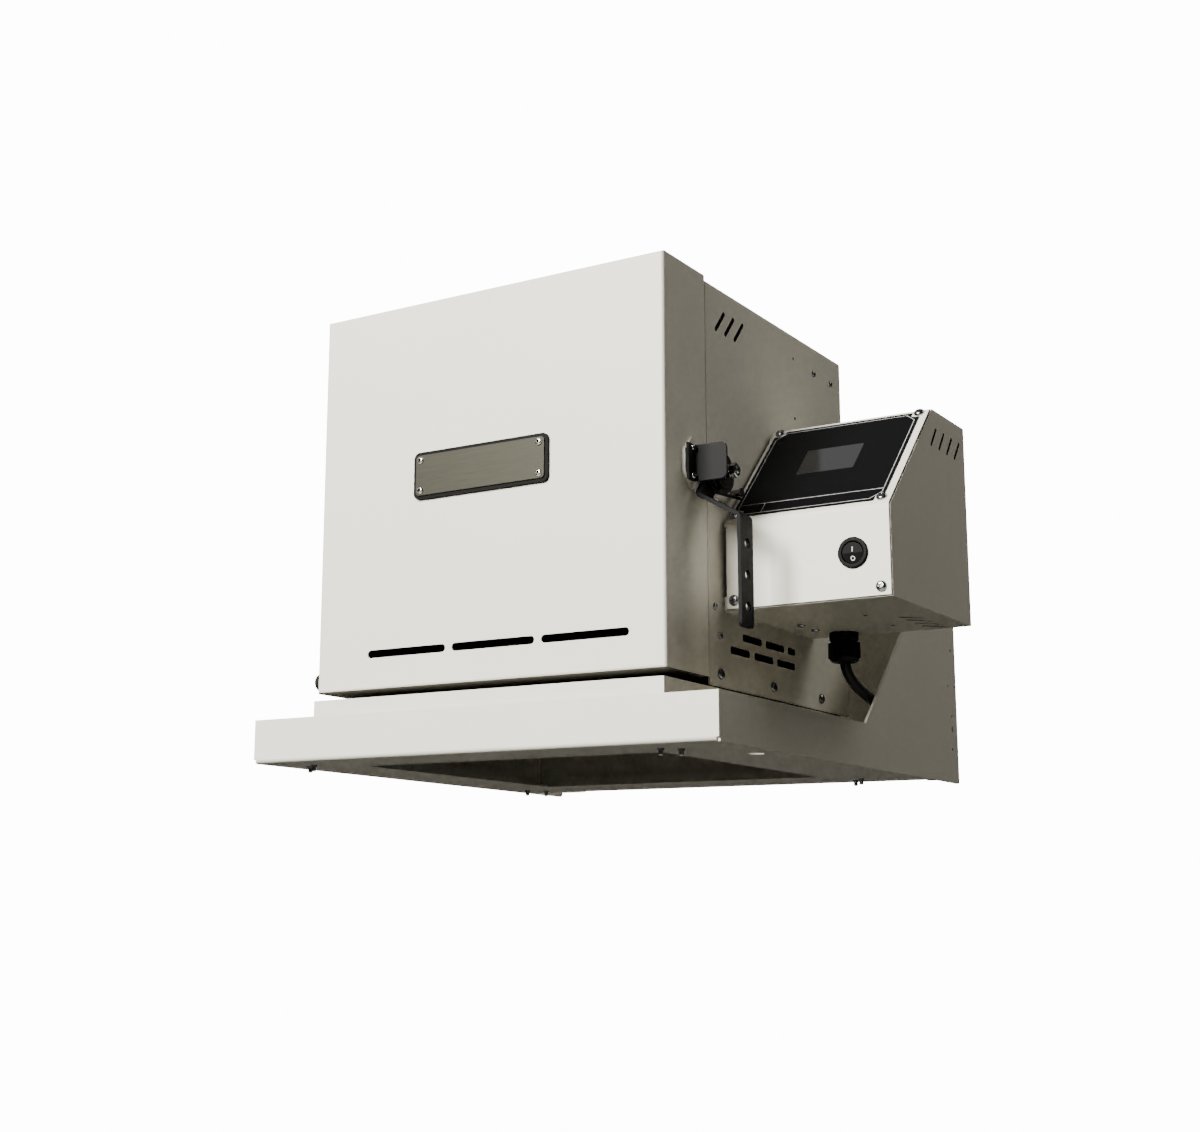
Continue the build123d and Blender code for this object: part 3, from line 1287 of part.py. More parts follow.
def build_all():
    save("base_tray", base_tray())
    save("gusset_right", gusset(1))
    save("gusset_left", gusset(-1))
    save("back_plate", back_plate())
    save("collar", collar())
    save("body_standoffs", body_standoffs())
    save("tray_studs", tray_studs())
    save("body_shell", body_shell())
    save("rear_cover", rear_cover())
    save("bottom_pan", bottom_pan())
    save("front_frame", front_frame())
    save("body_screws", body_screws())
    for name, board in insulation().items():
        save(name, board)
    save("heating_element", tube(element_path(), ELEMENT_R))
    save("thermocouple", thermocouple())
    save("thermocouple_block", thermocouple_block())
    save("door_shell", door_shell())
    save("door_liner", door_liner())
    save("door_board", door_board())
    save("nameplate_backing", nameplate(PLATE_W, PLATE_H, 5.0, DOOR_FRONT_Y, BACKING_T))
    save("nameplate", nameplate(PLATE_W - 5.5, PLATE_H - 5.6, 3.0, DOOR_FRONT_Y - BACKING_T, BADGE_T))
    save("nameplate_rivets", nameplate_rivets())
    save("door_bumper", door_bumper())
    save("hinge_door_leaves", hinge_leaf(True))
    save("hinge_body_leaves", hinge_leaf(False))
    save("hinge_pins", hinge_pins())
    save("hinge_door_screws", hinge_screws(True))
    save("hinge_body_screws", hinge_screws(False))
    save("latch_plate", latch_plate())
    save("latch_stop", latch_stop())
    save("latch_screws", latch_screws())
    save("latch_lever", latch_lever())
    save("latch_hub", latch_hub())
    save("latch_spring", latch_spring())
    save("latch_bolt", latch_bolt())
    save("latch_nuts", latch_nuts())
    save("spring_anchor", spring_anchor())
    save("control_case", control_case())
    save("control_panel", control_panel())
    save("panel_screws", panel_screws())
    save("display_overlay", display_overlay())
    save("display_glass", display_glass())
    save("controller_board", controller_board())
    save("board_posts", board_posts())
    save("relay", relay())
    save("terminal_block", terminal_block())
    save("switch_body", switch_body())
    save("switch_rocker", switch_rocker())
    save("gland_body", gland_body())
    save("gland_nut", gland_nut())
    save("gland_locknut", gland_locknut())
    save("power_cord_lead", cord(CORD_LEAD, "lead"))
    save("cord_coil", cord_coil())
    save("power_cord_tail", cord(CORD_TAIL, "tail"))
    save("plug_body", plug_body())
    save("plug_blades", plug_blades())


build_all()
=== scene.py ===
"""Looks for the wall-hung glass-pulling kiln: finishes, small hardware, cord, light and camera."""

import json
import logging
import math
from collections.abc import Callable
from dataclasses import dataclass, field, replace
from enum import Enum

import bmesh
import bpy
from mathutils import Matrix, Vector


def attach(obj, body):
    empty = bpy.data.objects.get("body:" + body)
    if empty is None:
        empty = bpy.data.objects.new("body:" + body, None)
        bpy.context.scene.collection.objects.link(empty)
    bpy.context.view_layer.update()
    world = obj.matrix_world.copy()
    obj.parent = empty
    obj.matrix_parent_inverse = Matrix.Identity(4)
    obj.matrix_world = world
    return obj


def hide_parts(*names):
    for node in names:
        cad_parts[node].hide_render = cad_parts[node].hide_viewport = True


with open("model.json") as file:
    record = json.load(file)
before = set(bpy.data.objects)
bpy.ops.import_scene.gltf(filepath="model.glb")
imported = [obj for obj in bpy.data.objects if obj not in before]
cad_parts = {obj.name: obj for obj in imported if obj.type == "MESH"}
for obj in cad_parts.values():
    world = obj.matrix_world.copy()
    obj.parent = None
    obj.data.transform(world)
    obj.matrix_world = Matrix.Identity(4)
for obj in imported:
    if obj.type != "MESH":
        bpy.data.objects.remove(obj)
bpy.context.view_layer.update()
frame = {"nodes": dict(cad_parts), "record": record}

MM = 0.001
LOG = logging.getLogger("kiln")

WELD = 0.01 * MM
FLAT_ANGLE = math.radians(1.0)
SHARP_ANGLE = math.radians(50.0)
HEAD_SMOOTH = 32.0
PLATE_SMOOTH = 40.0
FACING = 0.9


# Helpers for colour, nodes and modelling

def linear(code: str) -> tuple[float, float, float, float]:
    """Turn an sRGB hex colour into linear RGBA.

    Args:
        code: six hex digits, with or without a leading hash.

    Returns:
        Red, green, blue and alpha, 0 to 1.
    """
    digits = code.lstrip("#")
    channels = [int(digits[i:i + 2], 16) / 255 for i in (0, 2, 4)]
    out = [c / 12.92 if c <= 0.04045 else ((c + 0.055) / 1.055) ** 2.4 for c in channels]
    return out[0], out[1], out[2], 1.0


def add_node(tree: bpy.types.NodeTree, kind: str, settings: dict | None = None,
             inputs: dict | None = None) -> bpy.types.Node:
    """Add one node with its settings and inputs.

    Args:
        tree: the node tree that takes it.
        kind: the node's type name.
        settings: attributes to set on the node.
        inputs: socket name or number to a value, or to another node's output socket.

    Returns:
        The new node.
    """
    node = tree.nodes.new(kind)
    for name, value in (settings or {}).items():
        setattr(node, name, value)
    for name, value in (inputs or {}).items():
        socket = node.inputs[name]
        if isinstance(value, bpy.types.NodeSocket):
            tree.links.new(value, socket)
        else:
            socket.default_value = value
    return node


def deselect() -> None:
    """Leave nothing selected."""
    bpy.ops.object.select_all(action="DESELECT")


def activate(obj: bpy.types.Object) -> None:
    """Select one object alone and make it the active one."""
    deselect()
    obj.select_set(True)
    bpy.context.view_layer.objects.active = obj


def settle(obj: bpy.types.Object) -> bpy.types.Object:
    """Put an object's place into its mesh.

    Args:
        obj: the object, which ends at the origin, unturned.

    Returns:
        The same object.
    """
    activate(obj)
    bpy.ops.object.transform_apply(location=True, rotation=True, scale=True)
    return obj


def enter_edit(obj: bpy.types.Object, kind: str) -> bmesh.types.BMesh:
    """Enter edit mode with nothing selected.

    Args:
        obj: the object to edit.
        kind: what is selected next, FACE or EDGE.

    Returns:
        The mesh under edit.
    """
    activate(obj)
    bpy.ops.object.mode_set(mode="EDIT")
    bpy.ops.mesh.select_mode(type=kind)
    bpy.ops.mesh.select_all(action="DESELECT")
    return bmesh.from_edit_mesh(obj.data)


def choose_faces(obj: bpy.types.Object, test: Callable[[bmesh.types.BMFace], bool]) -> None:
    """Enter edit mode with the faces that pass a test selected.

    Args:
        obj: the object to edit.
        test: tells whether a face is wanted.
    """
    mesh = enter_edit(obj, "FACE")
    for face in mesh.faces:
        face.select_set(test(face))
    bmesh.update_edit_mesh(obj.data)


def choose_edges(obj: bpy.types.Object, test: Callable[[Vector, Vector], bool]) -> None:
    """Enter edit mode with the edges whose two ends pass a test selected.

    Args:
        obj: the object to edit.
        test: tells from an edge's ends whether it is wanted.
    """
    mesh = enter_edit(obj, "EDGE")
    for edge in mesh.edges:
        edge.select_set(test(edge.verts[0].co, edge.verts[1].co))
    bmesh.update_edit_mesh(obj.data)


def leave_edit() -> None:
    """Go back to object mode."""
    bpy.ops.object.mode_set(mode="OBJECT")


def combine(target: bpy.types.Object, tool: bpy.types.Object, operation: str) -> None:
    """Join or cut one solid with another, which is used up.

    Args:
        target: the solid that changes.
        tool: the solid that acts on it.
        operation: UNION or DIFFERENCE.
    """
    activate(target)
    change = target.modifiers.new("combine", "BOOLEAN")
    change.operation = operation
    change.solver = "EXACT"
    change.object = tool
    bpy.ops.object.modifier_apply(modifier=change.name)
    bpy.data.objects.remove(tool)


def smooth(obj: bpy.types.Object, degrees: float = HEAD_SMOOTH) -> None:
    """Shade an object smooth up to an angle."""
    activate(obj)
    bpy.ops.object.shade_smooth_by_angle(angle=math.radians(degrees))


def softened(node: str, name: str, width: float, segments: int = 2) -> bpy.types.Object:
    """Copy a CAD node's mesh and round its sharp edges a little, as paint and deburring do.

    Args:
        node: the CAD node, which the copy replaces.
        name: the copy's name.
        width: how far the rounding reaches, in millimetres.
        segments: facets across the rounding.

    Returns:
        The rounded piece.
    """
    source = frame["nodes"][node]
    obj = bpy.data.objects.new(name, source.data.copy())
    bpy.context.scene.collection.objects.link(obj)
    choose_faces(obj, lambda face: True)
    bpy.ops.mesh.remove_doubles(threshold=WELD)
    bpy.ops.mesh.dissolve_limited(angle_limit=FLAT_ANGLE)
    leave_edit()
    bevel = obj.modifiers.new("rounding", "BEVEL")
    bevel.width = width * MM
    bevel.segments = segments
    bevel.limit_method = "ANGLE"
    bevel.angle_limit = SHARP_ANGLE
    bevel.use_clamp_overlap = True
    activate(obj)
    bpy.ops.object.modifier_apply(modifier=bevel.name)
    smooth(obj, PLATE_SMOOTH)
    even = obj.modifiers.new("even_shading", "WEIGHTED_NORMAL")
    even.keep_sharp = True
    bpy.ops.object.modifier_apply(modifier=even.name)
    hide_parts(node)
    return obj


def joined(name: str, parts: list[bpy.types.Object]) -> bpy.types.Object:
    """Join several objects into one.

    Args:
        name: the name of the result.
        parts: the objects to join.

    Returns:
        One object at the origin.
    """
    deselect()
    for part in parts:
        part.select_set(True)
    bpy.context.view_layer.objects.active = parts[0]
    bpy.ops.object.join()
    obj = bpy.context.view_layer.objects.active
    obj.name = name
    obj.data.name = name
    return settle(obj)


# Finishes

# A box of painted shade, given by two opposite corners in millimetres
ShadeBox = tuple[tuple[float, float, float], tuple[float, float, float]]


@dataclass(frozen=True)
class Finish:
    """A surface finish with its common values."""

    name: str
    colour: str
    roughness: float
    metallic: float = 0.0
    grain_mm: float = 0.8
    bump: float = 0.1
    bump_mm: float = 0.05
    mottle: float = 0.04
    coat: float = 0.0
    specular: float = 0.5
    # Boxes where shade is painted in as a flat dark colour, and that colour
    painted_shade_zones: tuple[ShadeBox, ...] = ()
    painted_shade_colour: str = "0B0A09"

    def build(self) -> bpy.types.Material:
        """Build the material.

        Returns:
            A node material on object coordinates.
        """
        material = bpy.data.materials.new(self.name)
        material.use_nodes = True
        tree = material.node_tree
        shader = tree.nodes["Principled BSDF"]
        shader.inputs["Metallic"].default_value = self.metallic
        shader.inputs["Specular IOR Level"].default_value = self.specular
        if self.coat:
            shader.inputs["Coat Weight"].default_value = self.coat
            shader.inputs["Coat Roughness"].default_value = 0.12
        where = add_node(tree, "ShaderNodeTexCoord").outputs["Object"]
        self.paint(tree, shader, where)
        # Paint shade into each box
        for zone in self.painted_shade_zones:
            self.paint_shade(tree, shader, where, zone)
        return material

    def paint_shade(self, tree: bpy.types.NodeTree, shader: bpy.types.Node, where: bpy.types.NodeSocket,
               zone: ShadeBox) -> None:
        """Paint shade over what lies inside one box, as a flat dark colour.

        Args:
            tree: the material's node tree.
            shader: its principled shader.
            where: the object coordinates.
            zone: two opposite corners of the box of painted shade, in millimetres.
        """
        centre = tuple((a + b) / 2 * MM for a, b in zip(*zone))
        reach = tuple(abs(b - a) / 2 * MM for a, b in zip(*zone))
        offset = add_node(tree, "ShaderNodeVectorMath", {"operation": "SUBTRACT"}, {0: where, 1: centre})
        away = add_node(tree, "ShaderNodeVectorMath", {"operation": "ABSOLUTE"},
                        {0: offset.outputs["Vector"]})
        past = add_node(tree, "ShaderNodeVectorMath", {"operation": "SUBTRACT"},
                        {0: away.outputs["Vector"], 1: reach})
        parts = add_node(tree, "ShaderNodeSeparateXYZ", inputs={"Vector": past.outputs["Vector"]})
        flat = add_node(tree, "ShaderNodeMath", {"operation": "MAXIMUM"},
                        {0: parts.outputs["X"], 1: parts.outputs["Y"]})
        most = add_node(tree, "ShaderNodeMath", {"operation": "MAXIMUM"},
                        {0: flat.outputs[0], 1: parts.outputs["Z"]})
        inside = add_node(tree, "ShaderNodeMath", {"operation": "LESS_THAN"}, {0: most.outputs[0], 1: 0.0})
        surface = shader.inputs["Base Color"].links[0].from_socket
        mixed = add_node(tree, "ShaderNodeMix", {"data_type": "RGBA"},
                         {"Factor": inside.outputs[0], "A": surface, "B": linear(self.painted_shade_colour)})
        tree.links.new(mixed.outputs["Result"], shader.inputs["Base Color"])

    def paint(self, tree: bpy.types.NodeTree, shader: bpy.types.Node, where: bpy.types.NodeSocket) -> None:
        """Lay colour, roughness and grain on the shader.

        Args:
            tree: the material's node tree.
            shader: its principled shader.
            where: the object coordinates.
        """
        base = linear(self.colour)
        cloud = add_node(tree, "ShaderNodeTexNoise", inputs={"Vector": where, "Scale": 14.0, "Detail": 4.0})
        low = tuple(c * (1 - self.mottle) for c in base[:3]) + (1.0,)
        high = tuple(min(1.0, c * (1 + self.mottle)) for c in base[:3]) + (1.0,)
        tint = add_node(tree, "ShaderNodeMix", {"data_type": "RGBA"},
                        {"Factor": cloud.outputs["Fac"], "A": low, "B": high})
        tree.links.new(tint.outputs["Result"], shader.inputs["Base Color"])
        fine = add_node(tree, "ShaderNodeTexNoise",
                        inputs={"Vector": where, "Scale": 1.0 / (self.grain_mm * MM), "Detail": 2.0})
        gloss = add_node(tree, "ShaderNodeMapRange",
                         inputs={"Value": fine.outputs["Fac"], "To Min": self.roughness - 0.06,
                                 "To Max": self.roughness + 0.06})
        tree.links.new(gloss.outputs["Result"], shader.inputs["Roughness"])
        relief = add_node(tree, "ShaderNodeBump",
                          inputs={"Height": fine.outputs["Fac"], "Strength": self.bump,
                                  "Distance": self.bump_mm * MM})
        tree.links.new(relief.outputs["Normal"], shader.inputs["Normal"])


@dataclass(frozen=True)
class DimpledCoat(Finish):
    """Powder coat over a sheet with one stud welded behind it, which shows as a faint ring."""

    at: tuple[float, float, float] = (234.5, -362.5, 26.3)
    ring_mm: float = 3.6

    def paint(self, tree: bpy.types.NodeTree, shader: bpy.types.Node, where: bpy.types.NodeSocket) -> None:
        """Lay the coat, then press the ring into its relief.

        Args:
            tree: the material's node tree.
            shader: its principled shader.
            where: the object coordinates.
        """
        super().paint(tree, shader, where)
        coat = shader.inputs["Normal"].links[0].from_socket
        away = add_node(tree, "ShaderNodeVectorMath", {"operation": "DISTANCE"},
                        {0: where, 1: tuple(c * MM for c in self.at)})
        ring = add_node(tree, "ShaderNodeMapRange", {"interpolation_type": "SMOOTHSTEP"},
                        {"Value": away.outputs["Value"], "From Min": self.ring_mm * 0.7 * MM,
                         "From Max": self.ring_mm * 1.3 * MM})
        dent = add_node(tree, "ShaderNodeBump", inputs={"Height": ring.outputs["Result"], "Strength": 0.35,
                                                        "Distance": 0.3 * MM, "Normal": coat})
        tree.links.new(dent.outputs["Normal"], shader.inputs["Normal"])


@dataclass(frozen=True)
class BrushedMetal(Finish):
    """Metal whose fine scratches run one way."""

    along: tuple[float, float, float] = (0.02, 1.0, 1.0)

    def paint(self, tree: bpy.types.NodeTree, shader: bpy.types.Node, where: bpy.types.NodeSocket) -> None:
        """Lay stretched scratches on the shader.

        Args:
            tree: the material's node tree.
            shader: its principled shader.
            where: the object coordinates.
        """
        stretched = add_node(tree, "ShaderNodeMapping", inputs={"Vector": where, "Scale": self.along})
        lines = add_node(tree, "ShaderNodeTexNoise",
                         inputs={"Vector": stretched.outputs["Vector"], "Scale": 1.0 / (self.grain_mm * MM),
                                 "Detail": 3.0})
        base = linear(self.colour)
        low = tuple(c * (1 - self.mottle) for c in base[:3]) + (1.0,)
        tint = add_node(tree, "ShaderNodeMix", {"data_type": "RGBA"},
                        {"Factor": lines.outputs["Fac"], "A": low, "B": base})
        tree.links.new(tint.outputs["Result"], shader.inputs["Base Color"])
        gloss = add_node(tree, "ShaderNodeMapRange",
                         inputs={"Value": lines.outputs["Fac"], "To Min": self.roughness - 0.08,
                                 "To Max": self.roughness + 0.08})
        tree.links.new(gloss.outputs["Result"], shader.inputs["Roughness"])
        relief = add_node(tree, "ShaderNodeBump",
                          inputs={"Height": lines.outputs["Fac"], "Strength": self.bump,
                                  "Distance": self.bump_mm * MM})
        tree.links.new(relief.outputs["Normal"], shader.inputs["Normal"])


PLATE_CENTRE = (1.9, 111.2)
RIVET_SPREAD = (110.6, 24.2)
RIVET_PLACES = tuple((PLATE_CENTRE[0] + sx * RIVET_SPREAD[0] / 2, PLATE_CENTRE[1] + sz * RIVET_SPREAD[1] / 2)
                     for sx in (-1, 1) for sz in (-1, 1))

# Powder coat is sprayed polyester cured to a fine orange peel, here a texture of about a millimetre
POWDER_COAT = Finish("powder_coat_warm_grey", "CFCDC2", 0.52, grain_mm=0.9, bump=0.35, bump_mm=0.12,
                     mottle=0.02)
# Satin powder coat in black, soft enough that faces toward the lamp turn a dark grey
SATIN_BLACK = Finish("powder_coat_satin_black", "131315", 0.64, grain_mm=0.7, bump=0.3, bump_mm=0.08,
                     specular=0.13)
# Bright zinc plate has a cool, slightly blue shine
ZINC = Finish("zinc_plate", "84868A", 0.2, metallic=1.0, grain_mm=0.4, bump=0.05, bump_mm=0.02)
# Pulled rivets are hollow, and painted shade darkens the hole down the middle
RIVET_HOLE_SHADE = 1.0
RIVET = Finish("pulled_aluminium_rivet", "B4B4B0", 0.24, metallic=1.0, grain_mm=0.4, bump=0.05, bump_mm=0.02,
               painted_shade_zones=tuple(((x - RIVET_HOLE_SHADE, -457.9, z - RIVET_HOLE_SHADE),
                            (x + RIVET_HOLE_SHADE, -450.0, z + RIVET_HOLE_SHADE)) for x, z in RIVET_PLACES))
# Plain rolled sheet has faint rolling lines along its length
MILL_SHEET = BrushedMetal("rolled_steel_sheet", "9A9892", 0.38, metallic=1.0, grain_mm=0.5, bump=0.08)
# Brushed anodised aluminium in a pewter tone
BADGE = BrushedMetal("brushed_pewter", "35342B", 0.5, metallic=0.7, grain_mm=0.5, bump=0.3, mottle=0.6)
# Vacuum-formed fibre board is chalky with loose fibres
FIBRE = Finish("fibre_board", "E9E3D4", 0.92, grain_mm=1.6, bump=0.5, bump_mm=0.4, mottle=0.06)
# Heated iron-chromium wire turns a dark grey oxide
ALLOY = Finish("oxidised_element_wire", "4A4543", 0.62, metallic=0.6, grain_mm=0.6, bump=0.3)
# Unglazed porcelain is smooth and matt
PORCELAIN = Finish("unglazed_porcelain", "E4DFD2", 0.6, grain_mm=1.2, bump=0.1)
# Vulcanised rubber is matt with a grey bloom
RUBBER = Finish("vulcanised_rubber", "121212", 0.68, grain_mm=0.9, bump=0.15, mottle=0.15, specular=0.3)
# Screen-printed polyester film is smooth and satin
FILM = Finish("printed_polyester_film", "060607", 0.5, grain_mm=0.5, bump=0.03, mottle=0.05, specular=0.06)
# Display glass is flat and deep
SCREEN = Finish("display_glass", "08090B", 0.10, grain_mm=3.0, bump=0.0, mottle=0.02, coat=0.6)
# Solder mask over glass-epoxy board
SOLDER_MASK = Finish("solder_mask_board", "0F4A28", 0.45, grain_mm=0.8, bump=0.05)
# Moulded nylon with a fine spark-eroded texture
NYLON_BLACK = Finish("moulded_nylon_black", "040405", 0.55, grain_mm=0.6, bump=0.15, specular=0.08)
# The switch is moulded in polished tools, so its rim draws a thin line of light
NYLON_GLOSS = Finish("moulded_nylon_polished", "040405", 0.34, grain_mm=0.8, bump=0.02, specular=0.04)
NYLON_WHITE = Finish("moulded_nylon_white", "D8D5CC", 0.5, grain_mm=0.6, bump=0.1)
BRASS = Finish("plain_brass", "C9A25A", 0.28, metallic=1.0, grain_mm=0.5, bump=0.05)
# Silver screen ink on film, thin and slightly metallic
SILVER_INK = Finish("silver_screen_ink", "B9BBBD", 0.42, metallic=0.4, grain_mm=0.4, bump=0.02)
# White pad print on nylon
MARK_WHITE = Finish("white_pad_print", "B9BCBC", 0.5, grain_mm=0.5, bump=0.02, mottle=0.02)
# Flexible vinyl jacket, extruded smooth and slightly waxy
JACKET = Finish("vinyl_cord_jacket", "070708", 0.5, grain_mm=1.4, bump=0.06, mottle=0.08, specular=0.15)

# The panel's own coat, with the ring of a stud welded behind it; painted shade darkens its right and lower
# edges, as the shadow gap against the case
PANEL_COAT = DimpledCoat("powder_coat_panel", "D2D0C5", 0.5, grain_mm=0.9, bump=0.3, bump_mm=0.1, mottle=0.02,
                         painted_shade_zones=(((295.6, -370.0, -5.0), (297.0, -200.0, 160.0)),
                                ((160.0, -370.0, -2.0), (297.0, -350.0, -0.7))), painted_shade_colour="3A3730")
# Painted shade darkens the case's vent slots on its side and underside, whose insides lie in shadow
CASE_COAT = replace(POWDER_COAT, name="powder_coat_case",
                    painted_shade_zones=(((290.0, -300.0, 95.0), (296.37, -205.0, 153.0)),
                           ((225.0, -290.0, -1.77), (293.0, -205.0, 4.0))))
# Painted shade darkens the shell's vent slots and holes on both sides, whose insides lie in shadow
SHELL_COAT = replace(POWDER_COAT, name="powder_coat_shell",
                     painted_shade_zones=(((158.0, -384.0, -48.0), (162.37, -140.0, 245.0)),
                            ((-154.77, -384.0, -48.0), (-150.0, -140.0, 245.0))))
# Painted shade darkens the underside of the door's hem, which lies in shadow just above the tray
DOOR_COAT = replace(POWDER_COAT, name="powder_coat_door", painted_shade_colour="2E2B24",
                    painted_shade_zones=(((-160.0, -452.2, -56.0), (165.0, -380.0, -54.3)),))
# The lever's black is a shade deeper than the stop's
LEVER_BLACK = replace(SATIN_BLACK, name="powder_coat_lever_black", colour="0F0F10", specular=0.1)
# The sheets seen through the door's seam are painted dark, as the shade in the gap
SEAM_SHEET = replace(MILL_SHEET, name="steel_sheet_seam_shade",
                     painted_shade_zones=(((158.0, -402.0, -60.0), (163.0, -375.0, 260.0)),
                            ((-156.0, -402.0, -60.0), (-151.0, -375.0, 260.0)),
                            ((-156.0, -402.0, -60.0), (163.0, -375.0, -50.0)),
                            ((-156.0, -402.0, 249.0), (163.0, -375.0, 260.0))))
# Boards with painted shade on their faces toward the air gaps behind the vents
DOOR_BOARD = replace(FIBRE, name="fibre_board_door_vent_shade",
                     painted_shade_zones=(((-160.0, -440.0, -60.0), (165.0, -434.0, 260.0)),))
SIDE_BOARD = replace(FIBRE, name="fibre_board_side_vent_shade",
                     painted_shade_zones=(((149.0, -390.0, -60.0), (153.0, -130.0, 260.0)),
                            ((-146.0, -390.0, -60.0), (-141.0, -130.0, 260.0))))
# Pan under the chamber, painted dark as the shade inside the well
SHADED_PAN = Finish("steel_pan_painted_shade", "25221C", 0.75, metallic=0.2, grain_mm=1.2, bump=0.2, mottle=0.3)

NODE_FINISH: dict[str, Finish] = {
    "control_panel": PANEL_COAT, "control_case": CASE_COAT, "body_shell": SHELL_COAT, "door_shell": DOOR_COAT,
    "door_liner": SEAM_SHEET, "front_frame": SEAM_SHEET, "door_board": DOOR_BOARD,
    "insulation_floor": SIDE_BOARD, "insulation_roof": SIDE_BOARD,
    "insulation_left": SIDE_BOARD, "insulation_right": SIDE_BOARD,
    "bottom_pan": SHADED_PAN,
}

SLOT_FINISH: dict[str, Finish] = {
    "powder_coat": POWDER_COAT, "black_coat": SATIN_BLACK, "zinc": ZINC, "bare_steel": MILL_SHEET,
    "badge_metal": BADGE, "fibre_board": FIBRE, "element_alloy": ALLOY, "porcelain": PORCELAIN,
    "rubber_black": RUBBER, "film_black": FILM, "screen_glass": SCREEN, "board_green": SOLDER_MASK,
    "plastic_black": NYLON_BLACK, "plastic_white": NYLON_WHITE, "brass": BRASS,
}


@dataclass
class Palette:
    """Materials, each built once."""

    made: dict[str, bpy.types.Material] = field(default_factory=dict)

    def get(self, finish: Finish) -> bpy.types.Material:
        """Return the finish's material, building it the first time."""
        if finish.name not in self.made:
            self.made[finish.name] = finish.build()
        return self.made[finish.name]

    def dress(self, obj: bpy.types.Object, finish: Finish) -> None:
        """Give an object one finish all over."""
        obj.data.materials.clear()
        obj.data.materials.append(self.get(finish))


def dress_nodes(palette: Palette) -> None:
    """Give every CAD node the finish of its material slot.

    Args:
        palette: the materials.
    """
    for part in frame["record"]["subparts"]:
        finish = NODE_FINISH.get(part["node"], SLOT_FINISH[part["material_slot"]])
        palette.dress(frame["nodes"][part["node"]], finish)


# Small hardware, modelled once and copied

class Drive(Enum):
    """What the top of a fastener's head shows."""

    CROSS = "cross recess"
    HOLLOW = "pulled rivet with an open middle"


@dataclass(frozen=True)
class Fastener:
    """A pan-head screw or a domed rivet, with its shank."""

    head_d: float
    head_h: float
    shank_d: float
    shank_l: float
    drive: Drive = Drive.CROSS

    def blank(self) -> bpy.types.Object:
        """Shape a disc with its rim rounded over and its shank drawn out below.

        Returns:
            The blank, standing on the origin with its head up.
        """
        deselect()
        bpy.ops.mesh.primitive_cylinder_add(vertices=36, radius=self.head_d / 2 * MM,
                                            depth=self.head_h * MM, location=(0, 0, self.head_h / 2 * MM))
        blank = settle(bpy.context.view_layer.objects.active)
        top = self.head_h * MM
        near_top = top - 0.001 * MM
        choose_faces(blank, lambda face: face.normal.z < -FACING)
        bpy.ops.mesh.inset(thickness=(self.head_d - self.shank_d) / 2 * MM)
        bpy.ops.mesh.extrude_region_move(TRANSFORM_OT_translate={"value": (0, 0, -self.shank_l * MM)})
        leave_edit()
        choose_edges(blank, lambda a, b: min(a.z, b.z) > near_top)
        bpy.ops.mesh.bevel(offset=self.head_h * 0.86 * MM, segments=8, profile=0.5)
        leave_edit()
        return blank

    def wing(self, along: float, across: float, depth: float, top: float) -> bpy.types.Object:
        """Shape one tapered blade of the cross.

        Args:
            along: length in metres.
            across: width in metres.
            depth: depth in metres.
            top: height of its upper end in metres.

        Returns:
            The blade, narrower at its foot.
        """
        deselect()
        bpy.ops.mesh.primitive_cube_add(size=1.0, location=(0, 0, top - depth / 2),
                                        scale=(along, across, depth))
        wing = settle(bpy.context.view_layer.objects.active)
        choose_faces(wing, lambda face: face.normal.z < -FACING)
        bpy.ops.transform.resize(value=(0.35, 0.7, 1.0), center_override=(0, 0, top - depth))
        leave_edit()
        return wing

    def cutter(self) -> bpy.types.Object:
        """Shape the tool that sinks the drive into the head.

        Returns:
            A tapered cross, or a round punch.
        """
        depth = self.head_h * 0.62 * MM
        top = self.head_h * 1.05 * MM
        if self.drive is Drive.HOLLOW:
            deselect()
            bpy.ops.mesh.primitive_cone_add(vertices=20, radius1=self.head_d * 0.14 * MM,
                                            radius2=self.head_d * 0.2 * MM, depth=depth * 1.5,
                                            location=(0, 0, top - depth * 0.75))
            punch = settle(bpy.context.view_layer.objects.active)
            choose_edges(punch, lambda a, b: max(a.z, b.z) < top - depth * 1.4)
            bpy.ops.mesh.bevel(offset=self.head_d * 0.03 * MM, segments=2)
            leave_edit()
            return punch
        long_side, short_side = self.head_d * 0.58 * MM, self.head_d * 0.13 * MM
        first = self.wing(long_side, short_side, depth, top)
        second = self.wing(long_side, short_side, depth, top)
        second.rotation_euler = (0, 0, math.pi / 2)
        settle(second)
        combine(first, second, "UNION")
        return first

    def set_in(self, name: str, places: list[tuple[tuple, tuple]]) -> bpy.types.Object:
        """Drive one copy in at each place.

        Args:
            name: the name of the joined copies.
            places: seat in millimetres and outward direction of each.

        Returns:
            One object with every copy.
        """
        master = self.blank()
        combine(master, self.cutter(), "DIFFERENCE")
        smooth(master)
        copies = []
        for number, (seat, outward) in enumerate(places):
            copy = bpy.data.objects.new(f"{name}_{number}", master.data.copy())
            bpy.context.scene.collection.objects.link(copy)
            spin = Matrix.Rotation(0.7 + number * 1.31, 4, "Z")
            turn = Vector(outward).to_track_quat("Z", "Y").to_matrix().to_4x4()
            copy.matrix_world = Matrix.Translation(Vector(seat) * MM) @ turn @ spin
            copies.append(settle(copy))
        bpy.data.objects.remove(master)
        return joined(name, copies)


